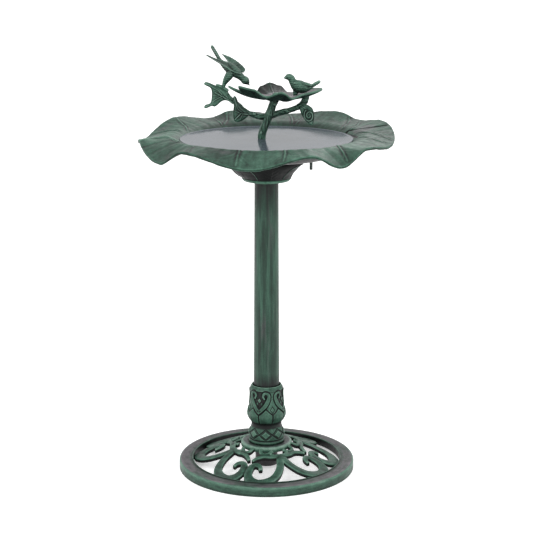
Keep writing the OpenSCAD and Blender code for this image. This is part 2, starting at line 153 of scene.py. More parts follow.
def fillet(corners, radii, steps=5):
    """A closed polygon with its corners rounded."""
    out = []
    for k, corner in enumerate(corners):
        p = np.array(corner, float)
        a = np.array(corners[k - 1], float) - p
        b = np.array(corners[(k + 1) % len(corners)], float) - p
        reach = min(radii[k], 0.45 * np.linalg.norm(a), 0.45 * np.linalg.norm(b))
        start, end = p + a / np.linalg.norm(a) * reach, p + b / np.linalg.norm(b) * reach
        out += [(1 - t) ** 2 * start + 2 * t * (1 - t) * p + t ** 2 * end for t in np.linspace(0, 1, steps)]
    return np.array(out)


def resample(outline, step):
    """A closed outline with points no further apart than step."""
    out = []
    for a, b in zip(outline, np.roll(outline, -1, axis=0)):
        count = max(1, math.ceil(np.linalg.norm(b - a) / step))
        out += [a + (b - a) * t for t in np.linspace(0, 1, count, endpoint=False)]
    return np.array(out)


def circle(count):
    """That many angles round the object, in degrees."""
    return np.linspace(0, 360, count, endpoint=False)


def around(r, a, z, x=0.0):
    """Points at radius r, degrees a from the front towards the right, and height z."""
    turn = np.radians(a)
    places = np.broadcast_arrays(x + r * np.sin(turn), -r * np.cos(turn), z)
    return np.stack(places, -1).reshape(-1, 3)


# ---- meshes ----

def quads(rows, cols, wrap_rows=False, wrap_cols=False):
    index = np.arange(rows * cols).reshape(rows, cols)
    if wrap_rows:
        index = np.vstack([index, index[:1]])
    if wrap_cols:
        index = np.hstack([index, index[:, :1]])
    return np.stack([index[:-1, :-1], index[:-1, 1:], index[1:, 1:], index[1:, :-1]], -1).reshape(-1, 4)


def capped(rows, cols):
    """The faces of a closed tube: its side, then its two ends."""
    ends = [list(range(cols))[::-1], list(range((rows - 1) * cols, rows * cols))]
    return quads(rows, cols, wrap_cols=True).tolist() + ends


def outward(verts, faces):
    """The four-sided faces of a closed surface, turned round if they look inward."""
    a, b, c, d = (verts[faces[:, k]] for k in range(4))
    volume = np.einsum("ij,ij->i", a, np.cross(b, c)) + np.einsum("ij,ij->i", a, np.cross(c, d))
    return faces if volume.sum() > 0 else faces[:, ::-1]


def new_object(name, data):
    obj = bpy.data.objects.new(name, data)
    bpy.context.scene.collection.objects.link(obj)
    return obj


def shown(name, mesh):
    """An object for a mesh, smooth-shaded."""
    mesh.polygons.foreach_set("use_smooth", np.ones(len(mesh.polygons), bool))
    mesh.update()
    return new_object(name, mesh)


def make(name, verts, faces):
    """An object with a smooth-shaded mesh, from millimetres."""
    mesh = bpy.data.meshes.new(name)
    mesh.from_pydata((np.asarray(verts, float) * MM).tolist(), [], [[int(v) for v in f] for f in faces])
    return shown(name, mesh)


def read(items, key, width, kind=np.float32):
    values = np.zeros(len(items) * width, kind)
    items.foreach_get(key, values)
    return values.reshape(-1, width)


def points_of(obj):
    return read(obj.data.vertices, "co", 3).astype(float) / MM


def normals_of(obj):
    return read(obj.data.vertex_normals, "vector", 3).astype(float)


def edges_of(obj):
    return read(obj.data.edges, "vertices", 2, np.int32)


def put_points(obj, verts):
    obj.data.vertices.foreach_set("co", (verts * MM).astype(np.float32).ravel())
    obj.data.update()


def averaged(values, edges, rounds):
    """Each vertex's value replaced by its neighbours' mean, that many times over."""
    values = np.asarray(values, float)
    flat = values.reshape(len(values), -1)
    a, b = edges.T
    count = np.maximum(np.bincount(a, minlength=len(flat)) + np.bincount(b, minlength=len(flat)), 1)
    for _ in range(rounds):
        flat = np.stack([(np.bincount(a, column[b], len(flat)) + np.bincount(b, column[a], len(flat)))
                         / count for column in flat.T], 1)
    return flat.reshape(values.shape)


def store(obj, name, values):
    """A number or a vector for each vertex, which the materials read."""
    values = np.asarray(values, np.float32)
    vector = values.ndim == 2
    attribute = obj.data.attributes.new(name, "FLOAT_VECTOR" if vector else "FLOAT", "POINT")
    attribute.data.foreach_set("vector" if vector else "value", values.ravel())


def relief_of(obj, rounds, depth, extra):
    """How far each point stands proud of its surroundings: above 0 on edges, below 0 in grooves."""
    edges, co = edges_of(obj), points_of(obj)
    height = ((co - averaged(co, edges, rounds)) * normals_of(obj)).sum(1) / depth + extra
    return averaged(np.clip(height, -1.6, 1.6), edges, 1)


def tube(path, sides, flat=1.0, up=(0, 1, 0)):
    """A closed tube with rounded ends along points [x, y, z, radius], flattened towards up if flat < 1."""
    path = np.asarray(path, float)
    tangent = np.gradient(path[:, :3], axis=0)
    tangent /= np.linalg.norm(tangent, axis=1)[:, None]
    turn = np.radians(circle(sides))
    angles = np.array([0.97, 0.75, 0.45]) * np.pi / 2

    def end(k, way):
        return [(path[k, :3] + way * tangent[k] * path[k, 3] * np.sin(c), path[k, 3] * np.cos(c), tangent[k])
                for c in angles[::-way]]

    rings = []
    for centre, radius, t in end(0, -1) + list(zip(path[:, :3], path[:, 3], tangent)) + end(-1, 1):
        side = np.cross(t, up)
        side /= np.linalg.norm(side)
        rings.append(centre + radius * (np.cos(turn)[:, None] * side
                                        + flat * np.sin(turn)[:, None] * np.cross(side, t)))
    return np.vstack(rings), capped(len(rings), sides)


def ball(centre, radii, rows=12, cols=20):
    """A closed ellipsoid."""
    rise = (np.linspace(-0.97, 0.97, rows) * np.pi / 2)[:, None]
    turn = np.radians(circle(cols))
    unit = np.broadcast_arrays(np.cos(rise) * np.cos(turn), np.cos(rise) * np.sin(turn), np.sin(rise))
    return np.asarray(centre) + np.stack(unit, -1).reshape(-1, 3) * np.asarray(radii), capped(rows, cols)


def lathe(outline, segments):
    """A ring turned from a closed outline of [radius, height] points."""
    verts = around(outline[:, :1], circle(segments), outline[:, 1:])
    return verts, outward(verts, quads(len(outline), segments, True, True))


def fuse(name, parts, voxel, rounds):
    """One solid piece from overlapping closed shapes, its creases softened."""
    verts, faces, start = [], [], 0
    for part_verts, part_faces in parts:
        verts.append(part_verts)
        faces += [[v + start for v in f] for f in part_faces]
        start += len(part_verts)
    rough = make(name + "_rough", np.vstack(verts), faces)
    remesh = rough.modifiers.new("fuse", "REMESH")
    remesh.mode = "VOXEL"
    remesh.voxel_size = voxel * MM
    bpy.context.view_layer.update()
    shaped = rough.evaluated_get(bpy.context.evaluated_depsgraph_get())
    mesh = bpy.data.meshes.new_from_object(shaped)
    bpy.data.objects.remove(rough)
    mesh.name = name
    obj = shown(name, mesh)
    edges, co = edges_of(obj), points_of(obj)
    for _ in range(rounds):
        co = averaged(co, edges, 1)
        co += (co - averaged(co, edges, 1)) * 0.5
    put_points(obj, co)
    return obj


def grain(points, scale, seed=0.0):
    """Smooth noise between -1 and 1 at points, scale being [per mm] along x, y and z."""
    p = np.asarray(points) * np.asarray(scale) + seed
    return np.array([noise.noise(q) for q in p])


def finish_piece(obj, body, slot, material, node, rounds, depth, extra=0.0, **attributes):
    """Stores what the material reads and puts the piece in the frame.

    rounds and depth are the width and the strength of the relief that relief_of feels."""
    for name, values in attributes.items():
        store(obj, name, values)
    store(obj, "relief", relief_of(obj, rounds, depth, extra))
    obj.data.materials.clear()
    obj.data.materials.append(material)
    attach(obj, body)
    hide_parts(node)


# ---- materials ----

def linear(red, green, blue):
    """A linear colour from its values on screen, 0 to 255."""
    def curve(value):
        value /= 255
        return value / 12.92 if value <= 0.04045 else ((value + 0.055) / 1.055) ** 2.4
    return curve(red), curve(green), curve(blue), 1.0


class Nodes:
    """A short way to write a material's nodes."""

    def __init__(self, name):
        self.material = bpy.data.materials.new(name)
        self.material.use_nodes = True
        self.tree = self.material.node_tree
        self.shader = self.tree.nodes["Principled BSDF"]

    def add(self, kind, inputs=None, **settings):
        node = self.tree.nodes.new(kind)
        for key, value in settings.items():
            setattr(node, key, value)
        for key, value in (inputs or {}).items():
            self.link(node, key, value)
        return node

    def link(self, node, key, value):
        if hasattr(value, "is_output"):
            self.tree.links.new(value, node.inputs[key])
        else:
            node.inputs[key].default_value = value

    def maths(self, operation, a, b=0.0, clamp=False):
        node = self.add("ShaderNodeMath", {0: a, 1: b}, operation=operation, use_clamp=clamp)
        return node.outputs[0]

    def place(self, scale=(1, 1, 1)):
        coords = self.add("ShaderNodeTexCoord").outputs["Object"]
        return self.add("ShaderNodeMapping", {"Vector": coords, "Scale": scale}).outputs[0]

    def stored(self, name, output="Fac"):
        return self.add("ShaderNodeAttribute", attribute_name=name).outputs[output]

    def sway(self, value, pattern, share):
        """The value, moved up and down by a noise pattern."""
        return self.maths("ADD", value, self.maths("MULTIPLY", self.maths("SUBTRACT", pattern, 0.5), share))

    def fade(self, value, start, end, most):
        node = self.add("ShaderNodeMapRange", {"Value": value, "From Min": start * MM, "From Max": end * MM,
                                               "To Min": 0.0, "To Max": most})
        return node.outputs[0]

    def noise(self, where, scale, detail=5.0, rough=0.55):
        node = self.add("ShaderNodeTexNoise",
                        {"Vector": where, "Scale": scale, "Detail": detail, "Roughness": rough})
        return node.outputs["Fac"]

    def ramp(self, value, *stops):
        node = self.add("ShaderNodeValToRGB", {"Fac": value})
        bar = node.color_ramp
        while len(bar.elements) < len(stops):
            bar.elements.new(0.5)
        for element, (place, colour) in zip(bar.elements, stops):
            element.position = place
            element.color = colour if hasattr(colour, "__len__") else (colour, colour, colour, 1)
        return node.outputs["Color"]

    def mix(self, share, first, second):
        node = self.add("ShaderNodeMix", data_type="RGBA")
        for index, value in ((0, share), (6, first), (7, second)):
            self.link(node, index, value)
        return node.outputs[2]

    def bumps(self, height, strength, distance):
        node = self.add("ShaderNodeBump", {"Height": height, "Strength": strength, "Distance": distance})
        self.link(self.shader, "Normal", node.outputs[0])

    def finish(self, colour, rough, **sockets):
        self.link(self.shader, "Base Color", colour)
        self.link(self.shader, "Roughness", rough)
        for key, value in sockets.items():
            self.shader.inputs[key.replace("_", " ")].default_value = value
        return self.material


PALE = linear(114, 141, 127)
LIGHT = linear(82, 115, 99)
GREEN = linear(54, 87, 72)
DEEP = linear(31, 56, 45)
DARK = linear(17, 25, 22)
INK = linear(8, 10, 10)
MAUVE = linear(94, 91, 95)
MAUVE_DARK = linear(48, 45, 48)
MAUVE_PALE = linear(128, 127, 131)


def aged_green(name, shade, mauve, relief=0.28, streaks=(1, 1, 1), flow=False, rubbed=True, marks=0.6,
               clouds=1.0, shine=0.3):
    """Green moulding with a dark wash in its grooves and painted shade where the piece stores it, rubbed pale
    edges and grey-mauve clouds.

    shade makes all of it lighter or darker, mauve is how much of it is clouded, relief how much the
    edges lighten, streaks scales the brush marks along x, y and z, flow takes their direction from
    the piece's "flow", rubbed takes the places of the clouds from its stored share, which is rubbed wear
    and on the dish leaf a painted highlight, marks is how strong the brush marks are, clouds how strong
    the soft patches are, shine how much the finish reflects."""
    n = Nodes(name)
    where = n.place()
    along = n.stored("flow", "Vector") if flow else n.place(streaks)
    brush = n.noise(along, 1.0 if flow else 90, 5, 0.6)
    tone = n.sway(0.55 + shade, n.noise(where, 26, 4), 0.5 * clouds)
    tone = n.sway(tone, brush, marks)
    tone = n.sway(tone, n.noise(where, 75, 5, 0.6), 0.45 * clouds)
    tone = n.sway(tone, n.noise(where, 420, 3), 0.25)
    tone = n.maths("ADD", tone, n.maths("MULTIPLY", n.stored("relief"), relief), clamp=True)
    # The stored wash darkens the tone: a dark wash in the grooves, and painted shade on undersides, in
    # recesses, under other parts and on sides turned from the light.
    tone = n.maths("SUBTRACT", tone, n.stored("wash"), clamp=True)
    colour = n.ramp(tone, (0.0, INK), (0.14, DARK), (0.34, DEEP), (0.55, GREEN), (0.76, LIGHT), (0.97, PALE))
    grey = n.ramp(tone, (0.0, INK), (0.2, MAUVE_DARK), (0.6, MAUVE), (1.0, MAUVE_PALE))
    cloud = n.maths("ADD", n.noise(where, 15, 4, 0.6), n.maths("MULTIPLY", brush, 0.25))
    # The stored rubbed share brings the grey clouds out; on the dish leaf it is a painted highlight.
    if rubbed:
        cloud = n.maths("ADD", cloud, n.maths("SUBTRACT", n.stored("rubbed"), 0.35))
    share = n.maths("MULTIPLY", n.ramp(cloud, (0.62, 0.0), (0.86, 1.0)), min(1.0, mauve * 2))
    rough = n.ramp(n.noise(where, 140, 4), (0.25, 0.36), (0.75, 0.56))
    skin = n.maths("ADD", n.noise(where, 700, 3), n.maths("MULTIPLY", brush, 0.8))
    n.bumps(skin, 0.35, 0.0004)
    return n.finish(n.mix(share, colour, grey), rough, IOR=1.46, Specular_IOR_Level=shine)


def column_paint():
    """The column's brushed green, with painted shade under the capital and towards its lower end in the
    socket.
    """
    n = Nodes("column_paint")
    where = n.place()
    streak = n.noise(n.place((1, 1, 0.06)), 130, 6, 0.62)
    height = n.add("ShaderNodeSeparateXYZ", {0: where}).outputs["Z"]
    tone = n.sway(0.43, streak, 0.95)
    tone = n.sway(tone, n.noise(n.place((1, 1, 0.2)), 28, 4), 0.55)
    tone = n.sway(tone, n.noise(where, 500, 3), 0.18)
    # Painted shade: darker under the capital and the bowl, and down towards the socket.
    tone = n.maths("SUBTRACT", tone, n.fade(height, COLUMN_TOP - 70, COLUMN_TOP, 0.3))
    tone = n.maths("SUBTRACT", tone, n.fade(height, SOCKET_TOP + 26, SOCKET_TOP - 2, 0.3), clamp=True)
    colour = n.ramp(tone, (0.0, INK), (0.16, DARK), (0.36, DEEP), (0.56, GREEN), (0.85, LIGHT))
    grey = n.ramp(tone, (0.0, INK), (0.25, MAUVE_DARK), (0.7, MAUVE))
    share = n.ramp(n.noise(n.place((1, 1, 0.12)), 60, 5, 0.6), (0.56, 0.0), (0.72, 0.75))
    rough = n.ramp(n.noise(where, 150, 4), (0.25, 0.36), (0.75, 0.54))
    n.bumps(n.maths("ADD", streak, n.noise(where, 700, 3)), 0.3, 0.0004)
    return n.finish(n.mix(share, colour, grey), rough, IOR=1.46, Specular_IOR_Level=0.3)


def plain_grain(name, low, high, scale, rough, **sockets):
    """A material of two near colours with a fine grain, for plastic, rubber and metal."""
    n = Nodes(name)
    where = n.place()
    colour = n.ramp(n.noise(where, scale), (0.3, linear(*low)), (0.7, linear(*high)))
    gloss = n.ramp(n.noise(where, scale * 3, 3), (0.3, rough[0]), (0.7, rough[1]))
    n.bumps(n.noise(where, scale * 6, 3), 0.2, 0.0003)
    return n.finish(colour, gloss, **sockets)


def water_paint():
    """Still grey water that mirrors what stands over it."""
    n = Nodes("water_paint")
    where = n.place()
    colour = n.ramp(n.noise(where, 9, 3), (0.3, linear(70, 78, 87)), (0.7, linear(76, 84, 93)))
    n.bumps(n.noise(where, 18, 2), 0.03, 0.0006)
    gloss = n.ramp(n.noise(where, 25, 2), (0.3, 0.08), (0.7, 0.13))
    return n.finish(colour, gloss, IOR=1.16)


FOOT_PAINT = aged_green("foot_paint", -0.2, 0.32, relief=0.36)
RING_PAINT = aged_green("ring_paint", -0.22, 0.5, flow=True, clouds=0.5)
RELIEF_PAINT = aged_green("relief_paint", -0.07, 0.25, relief=0.34, streaks=(1, 1, 0.3))
CAPITAL_PAINT = aged_green("capital_paint", -0.1, 0.2, relief=0.34, streaks=(1, 1, 0.3), rubbed=False,
                           shine=0.12)
LEAF_PAINT = aged_green("leaf_paint", -0.05, 0.34, flow=True, marks=0.34, shine=0.22)
DISH_PAINT = aged_green("dish_paint", -0.06, 0.5, flow=True, marks=0.3)
TWIG_PAINT = aged_green("twig_paint", -0.06, 0.2, relief=0.55, rubbed=False)
BIRD_PAINT = aged_green("bird_paint", -0.05, 0.25, relief=0.45, rubbed=False)
COLUMN_PAINT = column_paint()
WATER_PAINT = water_paint()
BLACK_PLASTIC = plain_grain("black_plastic", (18, 18, 20), (30, 30, 33), 60, (0.32, 0.46))
BLACK_RUBBER = plain_grain("black_rubber", (24, 24, 25), (38, 38, 40), 90, (0.62, 0.78))
STOPPER = plain_grain("stopper", (30, 40, 36), (46, 58, 52), 90, (0.5, 0.65))
ZINC = plain_grain("zinc", (150, 152, 155), (182, 184, 186), 120, (0.26, 0.4), Metallic=1.0)
GREEN_NYLON = plain_grain("green_nylon", (38, 60, 50), (56, 84, 70), 70, (0.38, 0.52))


# ---- foot ----

def foot_ring():
    inner_wall, outer_wall, under = RING_INNER + RING_WALL, RING_R - RING_WALL, RING_TOP - RING_WALL
    outline = fillet(
        [[RING_R, 0], [RING_R, RING_TOP], [RING_INNER + 2, RING_TOP], [RING_INNER + 2, LIP_TOP],
         [RING_INNER, LIP_TOP], [RING_INNER, 5], [inner_wall, 5], [inner_wall, under], [outer_wall, under],
         [outer_wall, 0]],
        [0.8, 4.5, 0.6, 0.7, 0.7, 0.5, 0.5, 1, 1, 0.8])
    obj = make("ring_rim", *lathe(resample(outline, 1.6), 360))
    co = points_of(obj)
    put_points(obj, co + normals_of(obj) * (0.08 * grain(co, (0.07, 0.07, 0.07)))[:, None])
    x, y, z = co.T
    r = np.hypot(x, y)
    top = smoothstep(RING_TOP - 1, RING_TOP - 0.2, z)
    # Painted shade on the ring's inner face and towards the floor; the corner at the lip gets a dark wash in
    # its groove.
    inside = smoothstep(RING_INNER + 4, RING_INNER + 0.6, r) * smoothstep(RING_TOP + 0.6, RING_TOP - 3, z)
    corner = ridge(r - RING_INNER - 2.3, 1.1) * ridge(z - RING_TOP, 0.8)
    finish_piece(obj, "stand", "foot_green", RING_PAINT, "foot_ring", 6, 0.25,
                 flow=np.stack([9 * y / r, 9 * x / r, 0.22 * (z - r)], 1),
                 rubbed=0.52 * top * smoothstep(RING_INNER + 3, RING_INNER + 8, r) - 0.3 * (1 - top),
                 wash=0.5 * inside + 0.4 * corner + 0.3 * smoothstep(6, 0, z))


def foot_hub():
    outline = fillet([[HUB_R, HUB_LOW], [HUB_R, HUB_TOP], [TUBE_HOLE, HUB_TOP], [TUBE_HOLE, HUB_LOW]],
                     [1.5, 4.5, 0.2, 0.2], 7)
    obj = make("hub_disc", *lathe(resample(outline, 1.4), 240))
    x, y, z = points_of(obj).T
    r = np.hypot(x, y)
    # Painted shade round the socket's foot and towards the hub's lower edge.
    finish_piece(obj, "stand", "foot_green", FOOT_PAINT, "foot_hub", 6, 0.25,
                 rubbed=0.6 * smoothstep(HUB_TOP - 1, HUB_TOP - 0.2, z) - 0.3 * smoothstep(43, 47, r),
                 wash=0.55 * smoothstep(38, 33, r) + 0.3 * smoothstep(HUB_LOW + 4, HUB_LOW, z))


# The openwork's bars in one quarter, each point [along the pair's axis, across it, half width]
STEM = [[44, 45, 7], [56, 50, 7], [72, 56, 7], [90, 58, 7.5], [106, 54, 8], [119, 43, 9.5],
        [125, 29, 10.5], [120, 15, 9], [109, 7.5, 7.5], [97, 6, 7], [88, 9, 6], [85, 16, 5.5],
        [88, 23, 4.5], [95, 27, 3.5]]
ARC = [[28, 53, 3], [38, 52, 4], [49, 43.5, 4.5], [57.5, 32, 4.5], [62, 20, 4], [69, 10, 4], [78, 3, 3]]
CURL = [[47, 8, 3.5], [55, 11, 3.5], [58, 18, 3.5], [53, 26, 3.5], [44, 29, 3.5]]
BAR_DEEP = 9
BAR_CROWN = 2.6
BAR_LOW_TOP = 11
PAIR_AXES = [90 * k - 112 for k in (1, 2, 3, 4)]


def openwork_top(x, y):
    """The height of the openwork's top: it slopes from the hub's down to the ring."""
    slope = (HUB_TOP - 1 - BAR_LOW_TOP) / (RING_INNER - HUB_R)
    return HUB_TOP - 1 - slope * (np.clip(np.hypot(x, y), HUB_R - 6, RING_INNER) - HUB_R)


def bar(points, mirror):
    """A bar with a rounded back and a vertical side, laid on the openwork's slope."""
    path = smooth_path(points, 7) * [1, mirror, 1]
    tangent = np.gradient(path[:, :2], axis=0)
    tangent /= np.linalg.norm(tangent, axis=1)[:, None]
    across = np.stack([-tangent[:, 1], tangent[:, 0]], 1)
    share = np.sin(np.linspace(-1, 1, 11) * np.pi / 2)
    section = [(s, -BAR_CROWN * (1 - math.sqrt(1 - 0.97 * s * s))) for s in share]
    section += [(1, -BAR_DEEP), (-1, -BAR_DEEP)]
    rings = []
    for centre, side, half in zip(path[:, :2], across, path[:, 2]):
        top = openwork_top(*centre)
        for s, down in section:
            x, y = centre + side * half * s
            rings.append([x, y, 0.5 * (top + openwork_top(x, y)) + down])
    verts, rows, cols = np.array(rings), len(path), len(section)
    sides = outward(verts, quads(rows, cols, wrap_cols=True)).tolist()
    return verts, sides + [list(range(cols)), list(range((rows - 1) * cols, rows * cols))]


def turned(verts, angle):
    c, s = math.cos(math.radians(angle)), math.sin(math.radians(angle))
    return verts @ np.array([[c, s, 0], [-s, c, 0], [0, 0, 1]])


def scroll_pair(number, axis):
    bars = [bar(line, mirror) for mirror in (1, -1) for line in (STEM, ARC, CURL)]
    obj = fuse(f"scroll_pair_{number}", bars, 1.0, 2)
    co, up = points_of(obj), normals_of(obj)[:, 2]
    r = np.hypot(co[:, 0], co[:, 1])
    co[:, :2] *= (np.minimum(r, RING_INNER + 0.4) / r)[:, None]
    under = openwork_top(co[:, 0], co[:, 1]) - co[:, 2]
    put_points(obj, turned(co, axis))
    # Painted shade on the bars' sides turned away from above, and deeper down under the openwork's top.
    wash = 0.5 * smoothstep(0.55, 0.1, up) * smoothstep(1.0, 4, under) + 0.3 * smoothstep(2.8, 5, under)
    finish_piece(obj, "stand", "foot_green", FOOT_PAINT, f"foot_scrolls_{number}", 7, 0.34,
                 wash=wash, rubbed=np.full(len(co), 0.08))


# ---- lotus socket ----

# [radius, height over the hub]
SOCKET_OUTLINE = [[33, 0], [34, 3], [33, 6.5], [33.6, 9], [33.2, 16], [31.8, 23], [28.8, 31], [28.5, 36],
                  [29.5, 39], [33, 45], [35.6, 53], [35, 60], [33, 70], [31.6, 82], [31.2, 95],
                  [31.5, 103.6], [30.8, 105.6], [28, 110.3], [27.2, 111]]
# The heart-shaped ribbon's right half: [place beside the pattern's middle, height, half width]
RIBBON = [[10, 90, 2], [7.6, 95.5, 2.6], [11.3, 101.2, 2.8], [17, 99.5, 3.4], [19.3, 93.5, 4],
          [15.4, 82, 4], [7.8, 71.5, 3.8], [0, 63.5, 3.6]]
# Where the socket's first pattern lies, and the radius that turns its angles into widths
PATTERN_START = -25
PATTERN_R = 33
PATTERN_HALF = math.radians(45) * PATTERN_R


def socket_pattern(angle, z):
    """The relief on the socket in mm at an angle from the front and a height over the hub, and its wash."""
    x = np.abs((angle - PATTERN_START + 45) % 90 - 45) * math.radians(PATTERN_R)
    far = PATTERN_HALF
    here = np.stack([x, z], 1)
    ribbon = smooth_path(RIBBON, 6)
    away, along = line_distance(here, ribbon[:, :2])
    half = np.interp(along, np.linspace(0, 1, len(ribbon)), ribbon[:, 2])
    body = smoothstep(41, 45, z)
    strap = smoothstep(half + 0.6, half - 1.2, away) * body
    outline = ridge(away - half - 0.8, 1.05) * body
    within = smoothstep(0, 1, (z - 66 - x * 0.95) / 2) * smoothstep(104.5, 102.5, z)
    within *= smoothstep(16.5, 14.5, x) * (1 - smoothstep(half + 1.5, half, away))
    lift = 1.25 * strap * (1 - 0.35 * (away / np.maximum(half, 1)) ** 2) - 1.1 * outline - 1.5 * within
    wash = 0.85 * outline + 0.45 * within
    gem = x / 3.6 + np.abs(z - 86) / 4.6
    lift += 1.9 * smoothstep(1.15, 0.75, gem)
    wash += 0.6 * ridge(gem - 1.3, 0.22) * within - 0.45 * smoothstep(1.1, 0.8, gem)
    for px, pz in ((5.2, 92.5), (4.6, 79.5)):
        petal = smoothstep(1.1, 0.6, np.hypot((x - px) / 1.9, (z - pz) / 2.8)) * within
        lift += 1.3 * petal
        wash -= 0.3 * petal
    small = np.hypot(x - 2.2, z - 66.5)
    lift -= 0.9 * ridge(small, 1.1)
    wash += 0.7 * ridge(small, 1.3)
    edges = ([0, 59], [far / 2, 71], [far, 59]), ([0, 59], [0, 41]), ([far, 59], [far, 41])
    crack = sum(ridge(line_distance(here, edge)[0], 1.0) for edge in edges)
    crack = np.minimum(crack, 1) * smoothstep(40, 44, z)
    middle = np.abs(x - far / 2) / (far / 2)
    petal = smoothstep(72, 66, z + 6 * middle) * smoothstep(38, 47, z)
    lift += 1.3 * petal * (1 - middle ** 2) - 1.5 * crack
    wash += 0.85 * crack + 0.12 * petal * smoothstep(56, 40, z)
    inner = np.abs(x - far) / 3.2 + np.abs(z - 68.5) / 4.6
    lift += 0.7 * smoothstep(1.1, 0.6, inner) - 0.7 * ridge(inner - 1.35, 0.2)
    lift -= 0.5 * ridge(line_distance(here, [[far, 90], [far / 2 + 4.6, 76]])[0], 0.6)
    wash += 0.5 * ridge(inner - 1.4, 0.22) + 0.3 * ridge(z - 103.2, 0.8)
    return lattice(x, z, lift, wash)


def lattice(x, z, lift, wash):
    """Adds the crossed diamonds round the socket's base, and the dark neck over them."""
    half = PATTERN_HALF / 2
    band = smoothstep(8.5, 10.5, z) * smoothstep(31, 28, z)
    diamond = np.abs(x % (2 * half) - half) / half + np.abs(z - 19) / 10.5
    lines = ridge(diamond - 1, 0.13) * band
    jewel = smoothstep(0.72, 0.5, diamond) * band
    ring = ridge(diamond - 0.72, 0.07) * band
    wash += 0.75 * lines + 0.35 * ring - 0.12 * jewel + 0.42 * smoothstep(28, 32, z) * smoothstep(41.5, 38, z)
    wash += 0.55 * ridge(z - 40.3, 1.1) + 0.6 * ridge(z - 7.3, 1.2) + 0.6 * ridge(z - 0.8, 0.9)
    return lift - 1.3 * lines + 0.9 * jewel - 0.5 * ring, wash


def relief_band(name, base, outside, inside, segments, step, pattern):
    """A turned hollow piece on height base, whose outer side carries a relief pattern(angle, height over it).

    It also returns the height over the base and the wash and painted shade at each point."""
    outer = smooth_path(outside, 6)
    length = np.concatenate([[0], np.cumsum(np.linalg.norm(np.diff(outer, axis=0), axis=1))])
    places = np.linspace(0, length[-1], int(length[-1] / step))
    outer = np.stack([np.interp(places, length, outer[:, k]) for k in (0, 1)], 1)
    verts, faces = lathe(np.vstack([outer, inside]) + [0, base], segments)
    radius, height = (np.repeat(outer[:, k], segments) for k in (0, 1))
    lift, outer_wash = pattern(np.tile(circle(segments), len(outer)), height)
    verts[:len(radius), :2] *= ((radius + lift) / radius)[:, None]
    # The inner faces get a flat painted shade.
    wash = np.full(len(verts), 0.4)
    wash[:len(radius)] = outer_wash
    return make(name, verts, faces), verts[:, 2] - base, wash


def lotus_socket():
    seat = COLUMN_R + 0.35
    inside = [[seat + 1.6, 110.6], [seat + 0.7, 109], [seat, 107.5], [seat, 60], [seat, 9], [TUBE_HOLE, 8],
              [TUBE_HOLE, 0.2], [28, 0]]
    obj, z, wash = relief_band("lotus_relief", HUB_TOP, SOCKET_OUTLINE, inside, 640, 0.4, socket_pattern)
    finish_piece(obj, "stand", "relief_green", RELIEF_PAINT, "lotus_socket", 8, 0.34, wash=wash,
                 rubbed=0.25 * smoothstep(25, 33, z) * smoothstep(44, 38, z) + 0.05 * wash)


# ---- capital ----

# [radius, height over the column]
CAPITAL_OUTLINE = [[38, 0.2], [41.5, 1], [43, 3], [45, 5.5], [48, 9.5], [52, 14], [56, 18.5], [60, 23],
                   [64, 29], [66, 34], [66, 39.4]]
# The edge of a front leaf: [degrees from the leaf's middle, height over the column]
LEAF_EDGE = [[28.7, 0], [28.2, 8], [29, 14], [31.5, 21], [36, 27], [44, 30.5], [56, 32.5]]
FRONT_LEAF = 9


def capital_pattern(angle, z):
    """Three broad upright leaves over three others, with rolled edges, above a turned lip."""
    turn = np.abs((angle - FRONT_LEAF + 60) % 120 - 60)
    arc = math.radians(50)
    edge, _ = line_distance(np.stack([turn * arc, z], 1), smooth_path(LEAF_EDGE, 4) * [arc, 1])
    outer = smoothstep(-1, 1, np.interp(z, *np.array(LEAF_EDGE).T[::-1]) - turn)
    midrib = np.minimum(turn, 60 - turn) * arc
    lip, groove = ridge(z - 3.4, 2.3), ridge(z - 7.4, 1.1)
    above = smoothstep(6, 9, z)
    veins = sum(ridge(line_distance(np.stack([midrib, z], 1), [[0, low], [9, low + 8]])[0], 0.8)
                for low in (10, 17, 24))
    lift = above * (1.5 * ridge(edge, 1.15) + 0.9 * outer + 0.6 * ridge(midrib, 0.9) + 0.35 * veins)
    lift = (lift + 0.9 * lip - 0.8 * groove) * smoothstep(0, 1.5, z) * smoothstep(39, 36, z)
    lean = 3.0 * ridge(off(angle, -90), 50) - 3.5 * ridge(off(angle, 90), 50)
    # Painted shade: the leaves above the lip are darkened for the bowl's shadow over them, their edges and
    # midribs left lighter; the groove gets a dark wash.
    wash = 0.78 * above - above * (0.62 * ridge(edge, 0.85) + 0.08 * ridge(midrib, 0.8)) + 0.3 * groove
    wash += 0.25 * above * ridge(edge - 2.6, 1.4) - 0.1 * lip
    return lift + lean * smoothstep(6, 16, z) * smoothstep(33, 24, z), wash


def capital():
    mouth, top = radius_of("bowl_collar") - 2.1, CAPITAL_TOP - COLUMN_TOP
    inside = [[64.6, top], [mouth + 0.8, top], [mouth, top - 0.8], [mouth, 28], [35, 28], [26, 6], [6, 6],
              [6, 0.4], [24, 0]]
    obj, _, wash = relief_band("capital_relief", COLUMN_TOP, CAPITAL_OUTLINE, inside, 600, 0.45,
                               capital_pattern)
    finish_piece(obj, "stand", "relief_green", CAPITAL_PAINT, "capital", 8, 0.34, wash=wash)


# ---- leaf bowl ----

# How far the rim rises over the shoulder, at degrees from the front towards the right
RIM_WAVES = [[-52, -25], [-38, -1], [-7, -22], [19, -2], [33, -23], [49, 1], [68, -6], [110, 16],
             [130, 8], [143, 19], [174, 8], [197, 16], [209, 4], [228, 13], [258, -16], [280, -4]]
